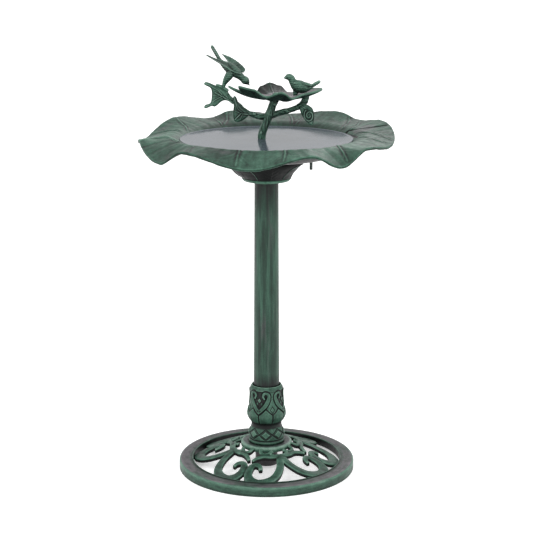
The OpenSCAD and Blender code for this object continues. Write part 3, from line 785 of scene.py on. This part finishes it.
# The leaf's main veins, each as [degrees from the front, radius]
VEINS = [
    [[-15, 168], [-14.5, 190], [-13, 229]],
    [[10, 168], [9.5, 192], [7, 228]],
    [[47, 166], [43, 182], [40, 202], [37, 228]],
    [[84, 166], [77, 190], [71, 230]],
    [[101, 168], [92, 190], [83, 212], [79, 228]],
    [[113, 166], [117, 186], [125, 214], [127, 228]],
    [[122, 166], [128, 190], [136, 228]],
    [[163, 166], [165.5, 195], [169, 228]],
    [[160, 164], [159, 198], [155, 228]],
    [[-150, 164], [-156, 188], [-160, 226]],
    [[-149, 164], [-151, 192], [-153, 228]],
    [[-116, 163], [-124, 185], [-131, 228]],
    [[-108, 166], [-111, 192], [-108, 228]],
    [[-63, 176], [-77, 180], [-81, 208], [-77, 229]],
    [[-46, 168], [-42, 190], [-36, 228]],
]
# The deep crease and the chink in the right lobe
CREASE = [[112, 156], [114, 166], [110, 176], [106, 196], [101, 224]]
CHINK = [[112, 156], [98, 160], [88, 163]]
# Where the left lobe's margin folds over, from its stalk end inwards
FOLD = [[-77, 229], [-78, 222], [-80, 209], [-82, 181], [-72, 172], [-65, 170]]
# Where the leaf's grey-mauve bloom lies: [degrees from the front, radius, width, depth, strength]
BLOOM = [[-22, 190, 16, 20, 0.5], [28, 200, 10, 20, 0.35], [57, 195, 10, 24, 0.45], [108, 196, 10, 22, 0.6],
         [104, 172, 8, 15, 0.75], [92, 208, 7, 18, 0.25], [150, 205, 9, 18, 0.15], [182, 200, 10, 18, 0.1],
         [-172, 200, 8, 16, 0.12], [-140, 205, 9, 20, 0.2], [-118, 214, 12, 16, 0.5], [-98, 205, 9, 24, 0.45],
         [-60, 205, 9, 22, 0.3]]
# The basin's floor and wall: [radius, share of the depth]
BASIN = [[BOWL_FLAT_R, 0], [92, 0.05], [112, 0.17], [128, 0.3], [143, 0.52]]


def polar(points):
    """[degrees from the front, radius] as x and y."""
    a, r = np.asarray(points, float).T
    return around(r, a, 0.0)[:, :2]


def vein_lines():
    """Each vein's line with its strength: the main veins, then the faint ones that branch off them."""
    for vein in VEINS:
        middle = smooth_path(vein, 5)
        yield polar(middle), 1.0
        for share, spread in ((0.3, 7), (0.3, -7), (0.62, 5), (0.62, -5)):
            a, r = middle[int(share * (len(middle) - 1))]
            bend = [a + spread * 0.35, r + (228 - r) * 0.45]
            yield polar([[a, r], bend, [a + spread, r + (228 - r) * 0.8]]), 0.2


def vein_relief(a, r):
    """How far the veins and the creases lift the leaf's upper side, and the wash beside them."""
    here = polar(np.stack([a, r], 1))
    on_margin = smoothstep(160, 174, r)
    lift, wash = np.zeros(len(r)), np.zeros(len(r))
    for line, strength in vein_lines():
        near = np.abs(here - line.mean(0)).max(1) < 60
        d, along = line_distance(here[near], line)
        power = strength * (1 - 0.45 * along) * on_margin[near]
        lift[near] += power * (ridge(d, 1.0) - 0.45 * ridge(d - 2.6, 1.3))
        wash[near] += power * (0.2 * ridge(d - 3.4, 2.4) - 0.16 * ridge(d, 0.9))
    for line, deep in ((CREASE, 3.4), (CHINK, 2.4)):
        d, along = line_distance(here, polar(smooth_path(line, 5)))
        lift -= deep * ridge(d, 2.6) * (1 - 0.5 * along)
        wash += 0.68 * ridge(d, 2.2) * (1 - 0.3 * along)
    d, _ = line_distance(here, polar(smooth_path(FOLD, 5)))
    # Painted shade on the margin beside and under the fold; the fold's own ridge is left lighter.
    below = smoothstep(0, 9, off(a, -79)) * smoothstep(48, 24, np.abs(off(a, -52)))
    lift += 1.6 * ridge(d, 3.2)
    wash += 0.16 * below * smoothstep(1, 6, d) * on_margin - 0.22 * ridge(d, 2.0)
    return lift, wash


def eased_shoulder(r, z):
    """The upper side's heights with the corner between basin and margin rounded off."""
    out = z.copy()
    for column in range(r.shape[1]):
        radius, height = r[:, column], z[:, column]
        spots = radius[:, None] + np.linspace(-13, 13, 9)
        mean = np.interp(spots, radius, height).mean(1)
        share = smoothstep(140, 152, radius) * smoothstep(192, 178, radius)
        out[:, column] = height + (mean - height) * share
    return out


def leaf_bowl():
    turns = 900
    a = circle(turns)
    wave = eased(RIM_WAVES, a)
    reach = BOWL_R - 0.12 * (wave + 4)
    top_z = SHOULDER_Z + 2

    def margin_row(s, drop=0):
        return SHOULDER_R + (reach - SHOULDER_R) * s, top_z + wave * s ** 1.4 - 2 * s - drop

    wall = [[157, 0.82], [SHOULDER_R, (BOWL_DEPTH + 2) / BOWL_DEPTH]]
    rows = [(np.full(turns, r), np.full(turns, FLOOR_Z + max(share, 0) * BOWL_DEPTH))
            for r, share in smooth_path([[BUSH_R, 0]] + BASIN + wall, 10)[:-1]]
    rows += [margin_row(s) for s in np.linspace(0, 1, 62)]
    inner_rows = len(rows)
    rows += [(rows[-1][0] + 1.2 * np.sin(turn), rows[-1][1] - BOWL_WALL / 2 * (1 - np.cos(turn)))
             for turn in np.linspace(0, np.pi, 9)[1:-1]]
    rows += [margin_row(s, BOWL_WALL) for s in np.linspace(1, 0, 46)]
    stations = [[164, 0.95], [153, 0.67], [129, 0.27], [104, 0.13], [BOWL_FLAT_R, 0], [BUSH_R, 0]]
    under = [[SHOULDER_R, top_z - BOWL_WALL]] + [[r, BOWL_LOW + share * BOWL_DEPTH] for r, share in stations]
    rows += [(np.full(turns, r), np.full(turns, max(z, BOWL_LOW))) for r, z in smooth_path(under, 10)[1:]]
    r, z = (np.array([row[k] for row in rows]) for k in (0, 1))
    z[:inner_rows] = eased_shoulder(r[:inner_rows], z[:inner_rows])
    a, edge_r = (np.broadcast_to(row, r.shape).ravel() for row in (a, reach))
    r, z = r.ravel(), z.ravel()
    is_top = np.repeat(np.arange(len(rows)) < inner_rows + 3, turns)
    lift, wash = vein_relief(a, r)
    margin = smoothstep(150, 176, r)
    ripple = np.sin(np.radians(a) * 46 + 0.02 * r) * 0.25 + np.sin(np.radians(a) * 83) * 0.12
    near_edge = smoothstep(2.2, 0.4, np.abs(edge_r - r))
    z += np.where(is_top, lift + ripple * margin + 0.15 * near_edge, -0.55 * lift * margin - ripple * margin)
    # The leaf's own stalk end: a rounded nub where the margin's left tip rolls in
    nub = np.exp(-(off(a, -78) / 4.5) ** 2) * smoothstep(196, 222, r)
    verts = around(r, a, z + 3.2 * nub)
    obj = make("lily_bowl", verts, outward(verts, quads(len(rows), turns, True, True)))
    # Painted shade on the bowl's underside, deeper towards the middle, over a little of the veins' wash.
    low_wash = 0.38 + 0.2 * smoothstep(205, 168, r) + 0.25 * smoothstep(150, 128, r) + 0.1 * wash
    # Painted shade and light on the upper side: darker along the top of the basin wall, on the far side and
    # on the right lobe, lighter on the left.
    wash += 0.12 * ridge(r - 163, 7) + 0.13 * smoothstep(118, 150, np.abs(off(a, 0)))
    wash += 0.07 * ridge(a - 88, 22) * smoothstep(160, 175, r) - 0.1 * ridge(off(a, -75), 34)
    bloom = sum(power * np.exp(-(off(a, middle) / wide) ** 2 - ((r - radius) / deep) ** 2)
                for middle, radius, wide, deep, power in BLOOM)
    finish_piece(obj, "bowl", "leaf_green", LEAF_PAINT, "leaf_bowl", 7, 0.6,
                 np.where(is_top, -0.5 * near_edge, 0.0),
                 flow=np.stack([a * 0.55, r * 0.014, np.where(is_top, 0.0, 9.0)], 1),
                 wash=np.where(is_top, wash - 0.04 * near_edge - 0.1 * nub, low_wash),
                 rubbed=np.where(is_top, bloom * margin, 0.05))


def water():
    """The water that fills the basin: it meets the wall in a small meniscus."""
    edge_r = 157.2
    under = [[r - 0.4, FLOOR_Z + share * BOWL_DEPTH + 0.8] for r, share in BASIN]
    rise = [[edge_r - reach, WATER_Z + 0.7 * math.exp(-reach / 1.1)] for reach in (0, 0.3, 0.8, 1.6, 3, 6)]
    top = [[r, WATER_Z] for r in (140, 110, 80, 55, 35, 20, 8, 2, 0.8, 0.4)]
    verts, faces = lathe(np.array(under + rise + top + [[0.4, FLOOR_Z + 6], [30, FLOOR_Z + 4.5]]), 240)
    obj = make("water", verts, faces)
    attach(obj, "bowl")
    obj.data.materials.append(WATER_PAINT)


# ---- ornament ----

# The stem and its branches: [x, height over TWIG_Z, radius]
TRUNK = [[0, 23, 6.6], [-3, 30, 7.6], [-7, 42, 7.2], [-8.5, 54, 7.4], [-5, 67, 7], [0, 80, 7.4],
         [5, 92, 8.4], [10, 107, 7.4], [14, 118, 8], [17, 124, 9]]
LEFT_BRANCH = [[3, 88, 5.5], [-12, 89, 5.6], [-24, 92, 4.8], [-36, 98, 4], [-49, 109, 3.8],
               [-62, 119, 3.8], [-72, 131, 3.6], [-82, 141, 3]]
RIGHT_BRANCH = [[8, 91, 6], [24, 96, 5.6], [40, 100, 5.2], [54, 105, 5.2], [64, 111, 6],
                [69, 118, 6.5], [72, 127, 5.5]]


def limb(points, sides, steps=6, y=0.0):
    """A tube along points [x, height over TWIG_Z, radius]."""
    return tube(limb_path(points, steps, y), sides)


def limb_path(points, steps=6, y=0.0):
    x, z, radius = np.asarray(points, float).T
    return smooth_path(np.stack([x, np.full(len(x), y), z + TWIG_Z, radius], 1), steps)


def knot(x, y, z, *radii):
    """An ellipsoid at height z over TWIG_Z."""
    return ball([x, y, TWIG_Z + z], radii)


def strand(points, twist, lean, thick):
    """A thin second stalk that winds round a branch."""
    path = limb_path(points)
    turn = np.linspace(0, twist, len(path))
    path[:, 1] += lean * np.cos(turn)
    path[:, 2] += lean * np.sin(turn)
    path[:, 3] = thick
    return tube(path, 12)


def under_wash(obj, base):
    """A base wash, with painted shade added on the undersides."""
    return base + 0.3 * smoothstep(0.25, -0.75, normals_of(obj)[:, 2])


def twig(name, node, parts, voxel, along, relief):
    """One twig piece from its parts, with bark ridges that run along it."""
    obj = fuse(name, parts, voxel, 3)
    co = points_of(obj)
    ridges = grain(co, along) + 0.5 * grain(co, np.array(along) * 2.1, 5)
    put_points(obj, co + normals_of(obj) * (0.75 * ridges - 0.15)[:, None])
    # Painted shade on the twig's undersides.
    finish_piece(obj, "ornament", "twig_green", TWIG_PAINT, node, 7, relief, wash=under_wash(obj, 0.06))


def twigs():
    foot = fillet([[12, STEM_Z], [12, STEM_Z + 3], [8, STEM_Z + 5], [3, STEM_Z + 5], [3, STEM_Z]],
                  [0.3, 1, 1, 0.3, 0.3])
    collar, faces = lathe(foot, 48)
    peg = [[0, 0, low_z("twig_stem") + 7, 6.9], [0, 0, STEM_Z + 3, 6.9]]
    twig("twig_trunk", "twig_stem",
         [limb(TRUNK, 20), (collar, faces.tolist()), tube(peg, 24), knot(6, -5.5, 93, 4.2, 3.6, 4.6),
          knot(2, 5.5, 84, 3.6, 3, 4), knot(-9, -5.5, 60, 3, 2.4, 3.6), knot(15, -6, 112, 3.4, 2.8, 3.2)],
         0.7, (0.3, 0.3, 0.07), 0.3)
    twig("left_twig", "left_branch",
         [limb(LEFT_BRANCH, 16), strand(LEFT_BRANCH[:6], 9, 3.6, 1.7), knot(-22, -2.5, 93.5, 4.4, 3.8, 4.2),
          knot(-49, -1, 109, 4.6, 4, 4.4), knot(-72, -1.5, 131, 4.2, 3.8, 4.4)],
         0.6, (0.12, 0.34, 0.3), 0.28)
    twig("right_twig", "right_branch",
         [limb(RIGHT_BRANCH, 16), knot(36, -2.5, 99.5, 5, 4, 4.2), knot(56, -1.5, 106, 5, 4.6, 4.6),
          strand(RIGHT_BRANCH[:5], 7, 4, 1.6)],
         0.6, (0.12, 0.34, 0.3), 0.28)


def leaf(name, node, outline, y, thick, veins, bend, material, shade=0.0):
    """A leaf cut from an outline of [x, height over TWIG_Z], veined on both sides, the first vein strongest.

    bend(x, z) says how far the sheet leans towards the back at each place."""
    edge = smooth_loop(outline, 5) + [0, TWIG_Z]
    count = len(edge)
    verts = np.vstack([np.insert(edge, 1, place, axis=1) for place in (y - thick / 2, y + thick / 2)])
    faces = [list(range(count)), list(range(count, 2 * count))[::-1]]
    faces += [[k, k + count, (k + 1) % count + count, (k + 1) % count] for k in range(count)]
    if np.cross(verts[1] - verts[0], verts[count] - verts[0]) @ (verts[0] - verts.mean(0)) < 0:
        faces = [f[::-1] for f in faces]
    obj = fuse(name, [(verts, faces)], 0.62, 2)
    co, normal = points_of(obj), normals_of(obj)
    flat = co[:, [0, 2]]
    rim, _ = line_distance(flat, np.vstack([edge, edge[:1]]))
    co[:, 1] = y + (co[:, 1] - y) * (0.45 + 0.55 * smoothstep(0, 4.5, rim))
    side = np.sign(normal[:, 1]) * smoothstep(0.3, 0.8, np.abs(normal[:, 1]))
    total = np.zeros(len(co))
    for vein, width, power in zip(veins, [0.95] + [0.65] * len(veins), [0.95] + [0.6] * len(veins)):
        d, along = line_distance(flat, np.array(vein, float) + [0, TWIG_Z])
        total += power * (1 - 0.5 * along) * (ridge(d, width) - 0.55 * ridge(d - 2 * width, width))
    total = np.clip(total, -0.8, 1.1)
    co[:, 1] += side * total * smoothstep(0.4, 2.2, rim) + bend(co[:, 0], co[:, 2] - TWIG_Z)
    put_points(obj, co)
    finish_piece(obj, "ornament", "twig_green", material, node, 6, 0.26, -0.55 * smoothstep(2.2, 0.3, rim),
                 wash=0.14 * smoothstep(0, -0.5, total) * np.abs(side) - shade)


IVY = [[-61, 116], [-70, 130], [-77, 138], [-94, 147], [-106, 152], [-111, 151], [-111, 147],
       [-99, 139], [-100, 116], [-110, 111], [-112, 106], [-108, 105], [-98, 109], [-92, 108],
       [-79, 118], [-69, 118], [-61, 112]]
IVY_VEINS = [[[-62, 115], [-76, 124], [-92, 133]], [[-76, 124], [-86, 137], [-108, 149]],
             [[-80, 126], [-92, 120], [-109, 107]], [[-68, 119], [-72, 127]], [[-84, 129], [-96, 128]]]
DROOPING = [[-31, 95], [-44, 107], [-50, 114], [-54, 124], [-58, 127], [-61, 121], [-59, 110],
            [-60, 96], [-58, 82], [-50, 80], [-41, 84]]
DROOPING_VEINS = [[[-33, 94], [-46, 95], [-57, 84]], [[-42, 96], [-52, 104], [-58, 124]],
                  [[-46, 95], [-56, 100]], [[-42, 95], [-48, 84]]]
CURLED = [[60, 106], [62, 96], [69, 84], [77, 76], [83, 76], [86, 88], [84, 102], [78, 109], [70, 112]]
CURL_TURNS = np.linspace(0.35, 1.95, 26) * 2 * np.pi
CURLED_VEINS = [np.stack([76.5 + 11.5 * (1 - CURL_TURNS / 15) * np.cos(CURL_TURNS),
                          92 + 14 * (1 - CURL_TURNS / 15) * np.sin(CURL_TURNS)], 1),
                [[64, 108], [72, 104]]]


def ornament_leaves():
    leaf("ivy", "ivy_leaf", IVY, -6, 4, IVY_VEINS,
         lambda x, z: 1.6 * np.sin((z - 105) / 14) - 0.9, BIRD_PAINT)
    leaf("drooping", "drooping_leaf", DROOPING, -6, 4, DROOPING_VEINS,
         lambda x, z: 1.4 * np.sin((x + 60) / 9) - 0.7, TWIG_PAINT, shade=-0.12)
    leaf("curled", "curled_leaf", CURLED, -8, 5, CURLED_VEINS,
         lambda x, z: 1.3 * np.sin((z - 76) / 10) - 0.6, BIRD_PAINT)


# The dish leaf: [degrees from the front, radius, height over TWIG_Z] round its rim, and where its ribs run
DISH_RIM = [[-90, 85, 145], [-72, 66, 138], [-60, 76, 149], [-40, 62, 144], [-16, 60, 133], [8, 66, 141],
            [30, 58, 129], [52, 62, 135], [84, 83, 141], [112, 70, 138], [138, 62, 127], [157, 57, 127],
            [173, 61, 138], [190, 64, 143], [206, 61, 138], [221, 57, 127], [238, 64, 134], [256, 62, 131]]
DISH_RIBS = (-90, -60, -16, 30, 84, 112, 190, 250)
DISH_X = 17
DISH_LOW = 126
DISH_WALL = 3.6


def leaf_dish():
    turns = 360
    a = circle(turns)
    angles, radii, heights = zip(*DISH_RIM)
    reach, rim = (eased([list(pair) for pair in zip(angles, values)], a) for values in (radii, heights))
    shares = np.linspace(0.03, 1, 56)

    def row(share, drop=0):
        return reach * share, DISH_LOW + (rim - DISH_LOW) * share ** 2.2 - drop

    rows = [row(s) for s in shares]
    rows += [(reach + 0.9 * math.sin(t), rim - DISH_WALL / 2 * (1 - math.cos(t))) for t in (0.8, 1.57, 2.35)]
    rows += [row(s, DISH_WALL + 3.6 * math.sin(math.pi * s) ** 0.8) for s in shares[:-1][::-1]]
    r, z = (np.array([row[k] for row in rows]) for k in (0, 1))
    a, reach = (np.broadcast_to(values, r.shape).ravel() for values in (a, reach))
    r, z = r.ravel(), z.ravel()
    share = r / reach
    is_top = np.repeat(np.arange(len(rows)) < len(shares), turns)
    rib = np.zeros(len(r))
    for tip in DISH_RIBS:
        d = np.radians(np.abs(off(a, tip))) * r
        rib += ridge(d, 1.0) - 0.5 * ridge(d - 2.4, 1.1)
    rib = np.clip(rib, -0.8, 1) * smoothstep(0.12, 0.35, share) * (1 - 0.5 * share)
    edge = smoothstep(0.93, 0.99, share)
    verts = around(r, a, z + TWIG_Z + np.where(is_top, 0.7 * rib + 0.25 * edge, -0.9 * rib), DISH_X)
    obj = make("dish_leaf", verts, outward(verts, quads(len(rows), turns, True, True)))
    # Painted light and shade: the far lobe's inside and the underside darker, the rest of the upper side
    # lighter and greyer as a painted highlight.
    far_lobe = np.minimum(1.3 * smoothstep(0.42, 0.58, share) * ridge(off(a, 185), 62), 1)
    pale = smoothstep(1.0, 0.86, share) * (1 - far_lobe)
    finish_piece(obj, "ornament", "twig_green", DISH_PAINT, "leaf_dish", 5, 0.3, -0.9 * edge,
                 flow=np.stack([a * 0.16, r * 0.03, np.where(is_top, 3.0, 12.0)], 1),
                 wash=np.where(is_top, 0.34 * far_lobe - 0.2 * pale, 0.24),
                 rubbed=np.where(is_top, 0.66 * pale, 0.0))


# ---- birds ----

# The birds, from tail to beak or beak to tail: [x, height over TWIG_Z, radius]
LANDING = [[-97, 214, 3], [-90, 202, 3.3], [-83, 190, 3.4], [-77, 184, 6], [-67, 177, 9.5], [-56, 169, 9.5],
           [-48, 162.5, 7], [-43, 158, 6.2], [-38, 154, 7.4], [-34.5, 150.5, 5], [-32, 147, 1.6],
           [-30.5, 145, 0.8]]
THIGH = [[-62, 172, 7], [-67, 163, 7.4], [-72, 155.5, 6], [-75.5, 149, 4], [-77, 143, 3]]
# The knobbly twig end that the landing bird grips
PERCH = [[-89, 146, 2.4], [-83, 143.5, 3.6], [-77, 140.5, 3], [-71, 137, 3.4]]
PERCHED = [[31, 159.5, 0.8], [34, 160, 3], [39, 161, 6], [44, 159, 6.4], [47, 153, 7], [53, 147, 10.5],
           [61, 143.5, 11.5], [70, 142, 9], [76, 142, 5], [80, 144, 3.4], [88, 149, 3.3], [94, 152.5, 3]]
PERCHED_LEG = [[53, 140, 6], [52, 132, 4.5], [51, 127, 3.5]]
PERCHED_Y = -8


def feather(root, tip, wide, flat, up):
    """A flat rounded blade between two points [x, y, height over TWIG_Z]."""
    root, tip = (np.array(end, float) + [0, 0, TWIG_Z] for end in (root, tip))
    widths = wide * np.array([0.55, 0.8, 0.95, 1, 1, 0.97, 0.9, 0.72, 0.42])
    path = root + (tip - root) * np.linspace(0, 1, 9)[:, None]
    return tube(np.hstack([path, widths[:, None]]), 14, flat, up)


# The edges of the two wings, from shoulder to tip, each point [x, y, height over TWIG_Z]
NEAR_WING = ([[-46, -7, 166], [-60, -13, 171], [-73, -19, 180], [-90, -24, 191.5], [-107, -26, 202.5]],
             [[-46, 2, 172], [-60, -1, 181], [-72, -6, 187], [-89, -17, 194.5], [-106, -25, 203]])
FAR_WING = ([[-41, 9, 167], [-38.5, 14, 173], [-49, 17, 183.5], [-64, 19, 193.5], [-82, 20, 200.5]],
            [[-60, 4, 174], [-66, 8, 178.5], [-69, 12, 185.5], [-74, 17, 192], [-81.5, 20, 200]])


def wing(edges):
    """A closed plate between a wing's two edges, with the furrows between its nine feathers."""
    lead, trail = (smooth_path(edge, 12) + [0, 0, TWIG_Z] for edge in edges)
    share = np.linspace(0, 1, 15)[:, None, None]
    sheet = lead + (trail - lead) * share
    normal = np.cross(np.gradient(sheet, axis=1), np.gradient(sheet, axis=0))
    normal /= np.maximum(np.linalg.norm(normal, axis=2), 1e-6)[:, :, None]
    reach = np.linspace(0, 1, sheet.shape[1])[None, :]
    furrow = np.abs(np.sin(np.pi * 9 * (reach + 0.25 * share[:, :, 0]))) ** 0.5
    half = (1.5 * (1 - 0.45 * reach) * (0.72 + 0.28 * furrow))[:, :, None]
    camber = 1.5 * np.sin(np.pi * share) * normal
    layers = np.vstack([sheet + camber + normal * half, (sheet + camber - normal * half)[::-1]])
    count, cols = layers.shape[:2]
    verts = layers.reshape(-1, 3)
    faces = outward(verts, quads(count, cols, wrap_rows=True)).tolist()
    faces += [[row * cols for row in range(count)], [row * cols + cols - 1 for row in range(count)][::-1]]
    return verts, faces


def bird(name, node, parts, seed):
    """One bird from its parts, with small overlapping feather scales pressed into it."""
    obj = fuse(name, parts, 0.55, 2)
    co, normal = points_of(obj), normals_of(obj)
    size = 4.6
    v = (co[:, 2] + co[:, 1] * 0.6) / (size * 0.8)
    row = np.floor(v)
    across = (co[:, 0] / size + 0.5 * (row % 2)) % 1 - 0.5
    scale = smoothstep(0, 0.5, v - row - 1.3 * across ** 2) - 0.5
    put_points(obj, co + normal * (0.26 * scale + 0.1 * grain(co, (0.5, 0.5, 0.5), seed))[:, None])
    # Painted shade on the bird's undersides.
    finish_piece(obj, "ornament", "bird_green", BIRD_PAINT, node, 7, 0.26, wash=under_wash(obj, 0.03))


def landing_bird():
    parts = [limb(LANDING, 20), limb(PERCH, 14, 5, -3), wing(NEAR_WING), wing(FAR_WING)]
    for side in (1, -1):
        parts += [limb(THIGH, 14, 5, side * 3), knot(-38.5, side * 4.9, 155, 1.1, 0.8, 1.1),
                  feather([-80, side * 3, 143], [-86, side * 4.5, 141], 1.3, 0.8, (0, 0, 1))]
    parts += [feather([-80, s, 187], [-98, 1.6 * s, 215], 2.2, 0.6, (0.6, 0, 0.5)) for s in (-1.6, 0, 1.6)]
    bird("alighting_bird", "landing_bird", parts, 2)


def perched_bird():
    parts = [limb(PERCHED, 22, y=PERCHED_Y), limb(PERCHED_LEG, 14, 5, PERCHED_Y)]
    for side in (1, -1):
        parts += [feather([50 + 2.2 * k, PERCHED_Y + side * (8.6 - k * 0.5), 151 - 1.8 * k],
                          [80 - 4.0 * k, PERCHED_Y + side * (4.8 - k * 0.6), 147 - 1.6 * k],
                          3.4, 0.62, (0, side, 0.25)) for k in range(5)]
        parts += [knot(38, PERCHED_Y + side * 4.7, 162.2, 1.1, 0.8, 1.1),
                  feather([76, PERCHED_Y + side * 1.2, 144], [95, PERCHED_Y + side * 1.8, 153.5],
                          2.3, 0.6, (0, 0, 1))]
    bird("resting_bird", "perched_bird", parts, 8)


# ---- CAD nodes that stay ----

def paint(material, *nodes):
    for node in nodes:
        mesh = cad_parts[node].data
        for index in range(len(mesh.materials)):
            mesh.materials[index] = material


# ---- stage ----

FLOOR_HALF = 9.0
# The camera: its distance and height in metres, its pitch in degrees and its lens in mm
CAMERA_DISTANCE, CAMERA_HEIGHT, CAMERA_PITCH, CAMERA_LENS = 2.7597, 1.0449, 13.39, 103.8


def stage():
    mesh = bpy.data.meshes.new("floor")
    corners = [(-1, -1), (1, -1), (1, 1), (-1, 1)]
    mesh.from_pydata([(x * FLOOR_HALF, y * FLOOR_HALF, 0) for x, y in corners], [], [(0, 1, 2, 3)])
    n = Nodes("floor_white")
    n.link(n.shader, "Base Color", (0.9, 0.9, 0.9, 1))
    n.link(n.shader, "Roughness", 0.5)
    n.link(n.shader, "Emission Color", (1, 1, 1, 1))
    n.link(n.shader, "Emission Strength", 0.45)
    mesh.materials.append(n.material)
    new_object("floor", mesh)
    world = bpy.data.worlds.new("studio")
    world.use_nodes = True
    background = world.node_tree.nodes["Background"]
    background.inputs["Color"].default_value = (1, 1, 1, 1)
    background.inputs["Strength"].default_value = 1.05
    bpy.context.scene.world = world
    bpy.context.scene.view_settings.view_transform = "Standard"


def lamp(name, place, target, width, power):
    data = bpy.data.lights.new(name, "AREA")
    data.shape = "DISK"
    data.size = width
    data.energy = power
    obj = new_object(name, data)
    obj.location = place
    obj.rotation_euler = (Vector(target) - Vector(place)).to_track_quat("-Z", "Y").to_euler()


def camera():
    data = bpy.data.cameras.new("camera")
    data.lens = CAMERA_LENS
    data.sensor_width = 36
    obj = new_object("camera", data)
    obj.location = (0, -CAMERA_DISTANCE, CAMERA_HEIGHT)
    obj.rotation_euler = (math.radians(90 - CAMERA_PITCH), 0, 0)
    bpy.context.scene.camera = obj


camera()
stage()
lamp("key", (-1.6, -1.9, 2.4), (0, 0, 0.5), 1.2, 26)
lamp("fill", (2.2, -1.4, 1.6), (0, 0, 0.5), 1.4, 9)
lamp("back", (0.6, 2.4, 2.0), (0, 0, 0.6), 1.2, 10)

foot_ring()
foot_hub()
for number, axis in enumerate(PAIR_AXES, 1):
    scroll_pair(number, axis)
lotus_socket()
capital()
leaf_bowl()
water()
twigs()
ornament_leaves()
leaf_dish()
landing_bird()
perched_bird()

paint(COLUMN_PAINT, "column_tube")
paint(BLACK_PLASTIC, "hub_tube")
paint(ZINC, "socket_screws", "tie_rod", "rod_washer", "rod_nut", "capital_nut", "collar_screws")
paint(BLACK_RUBBER, "bowl_gasket", "bush_seal")
paint(STOPPER, "drain_plug")
paint(GREEN_NYLON, "bowl_collar", "stem_bush", "bush_nut")
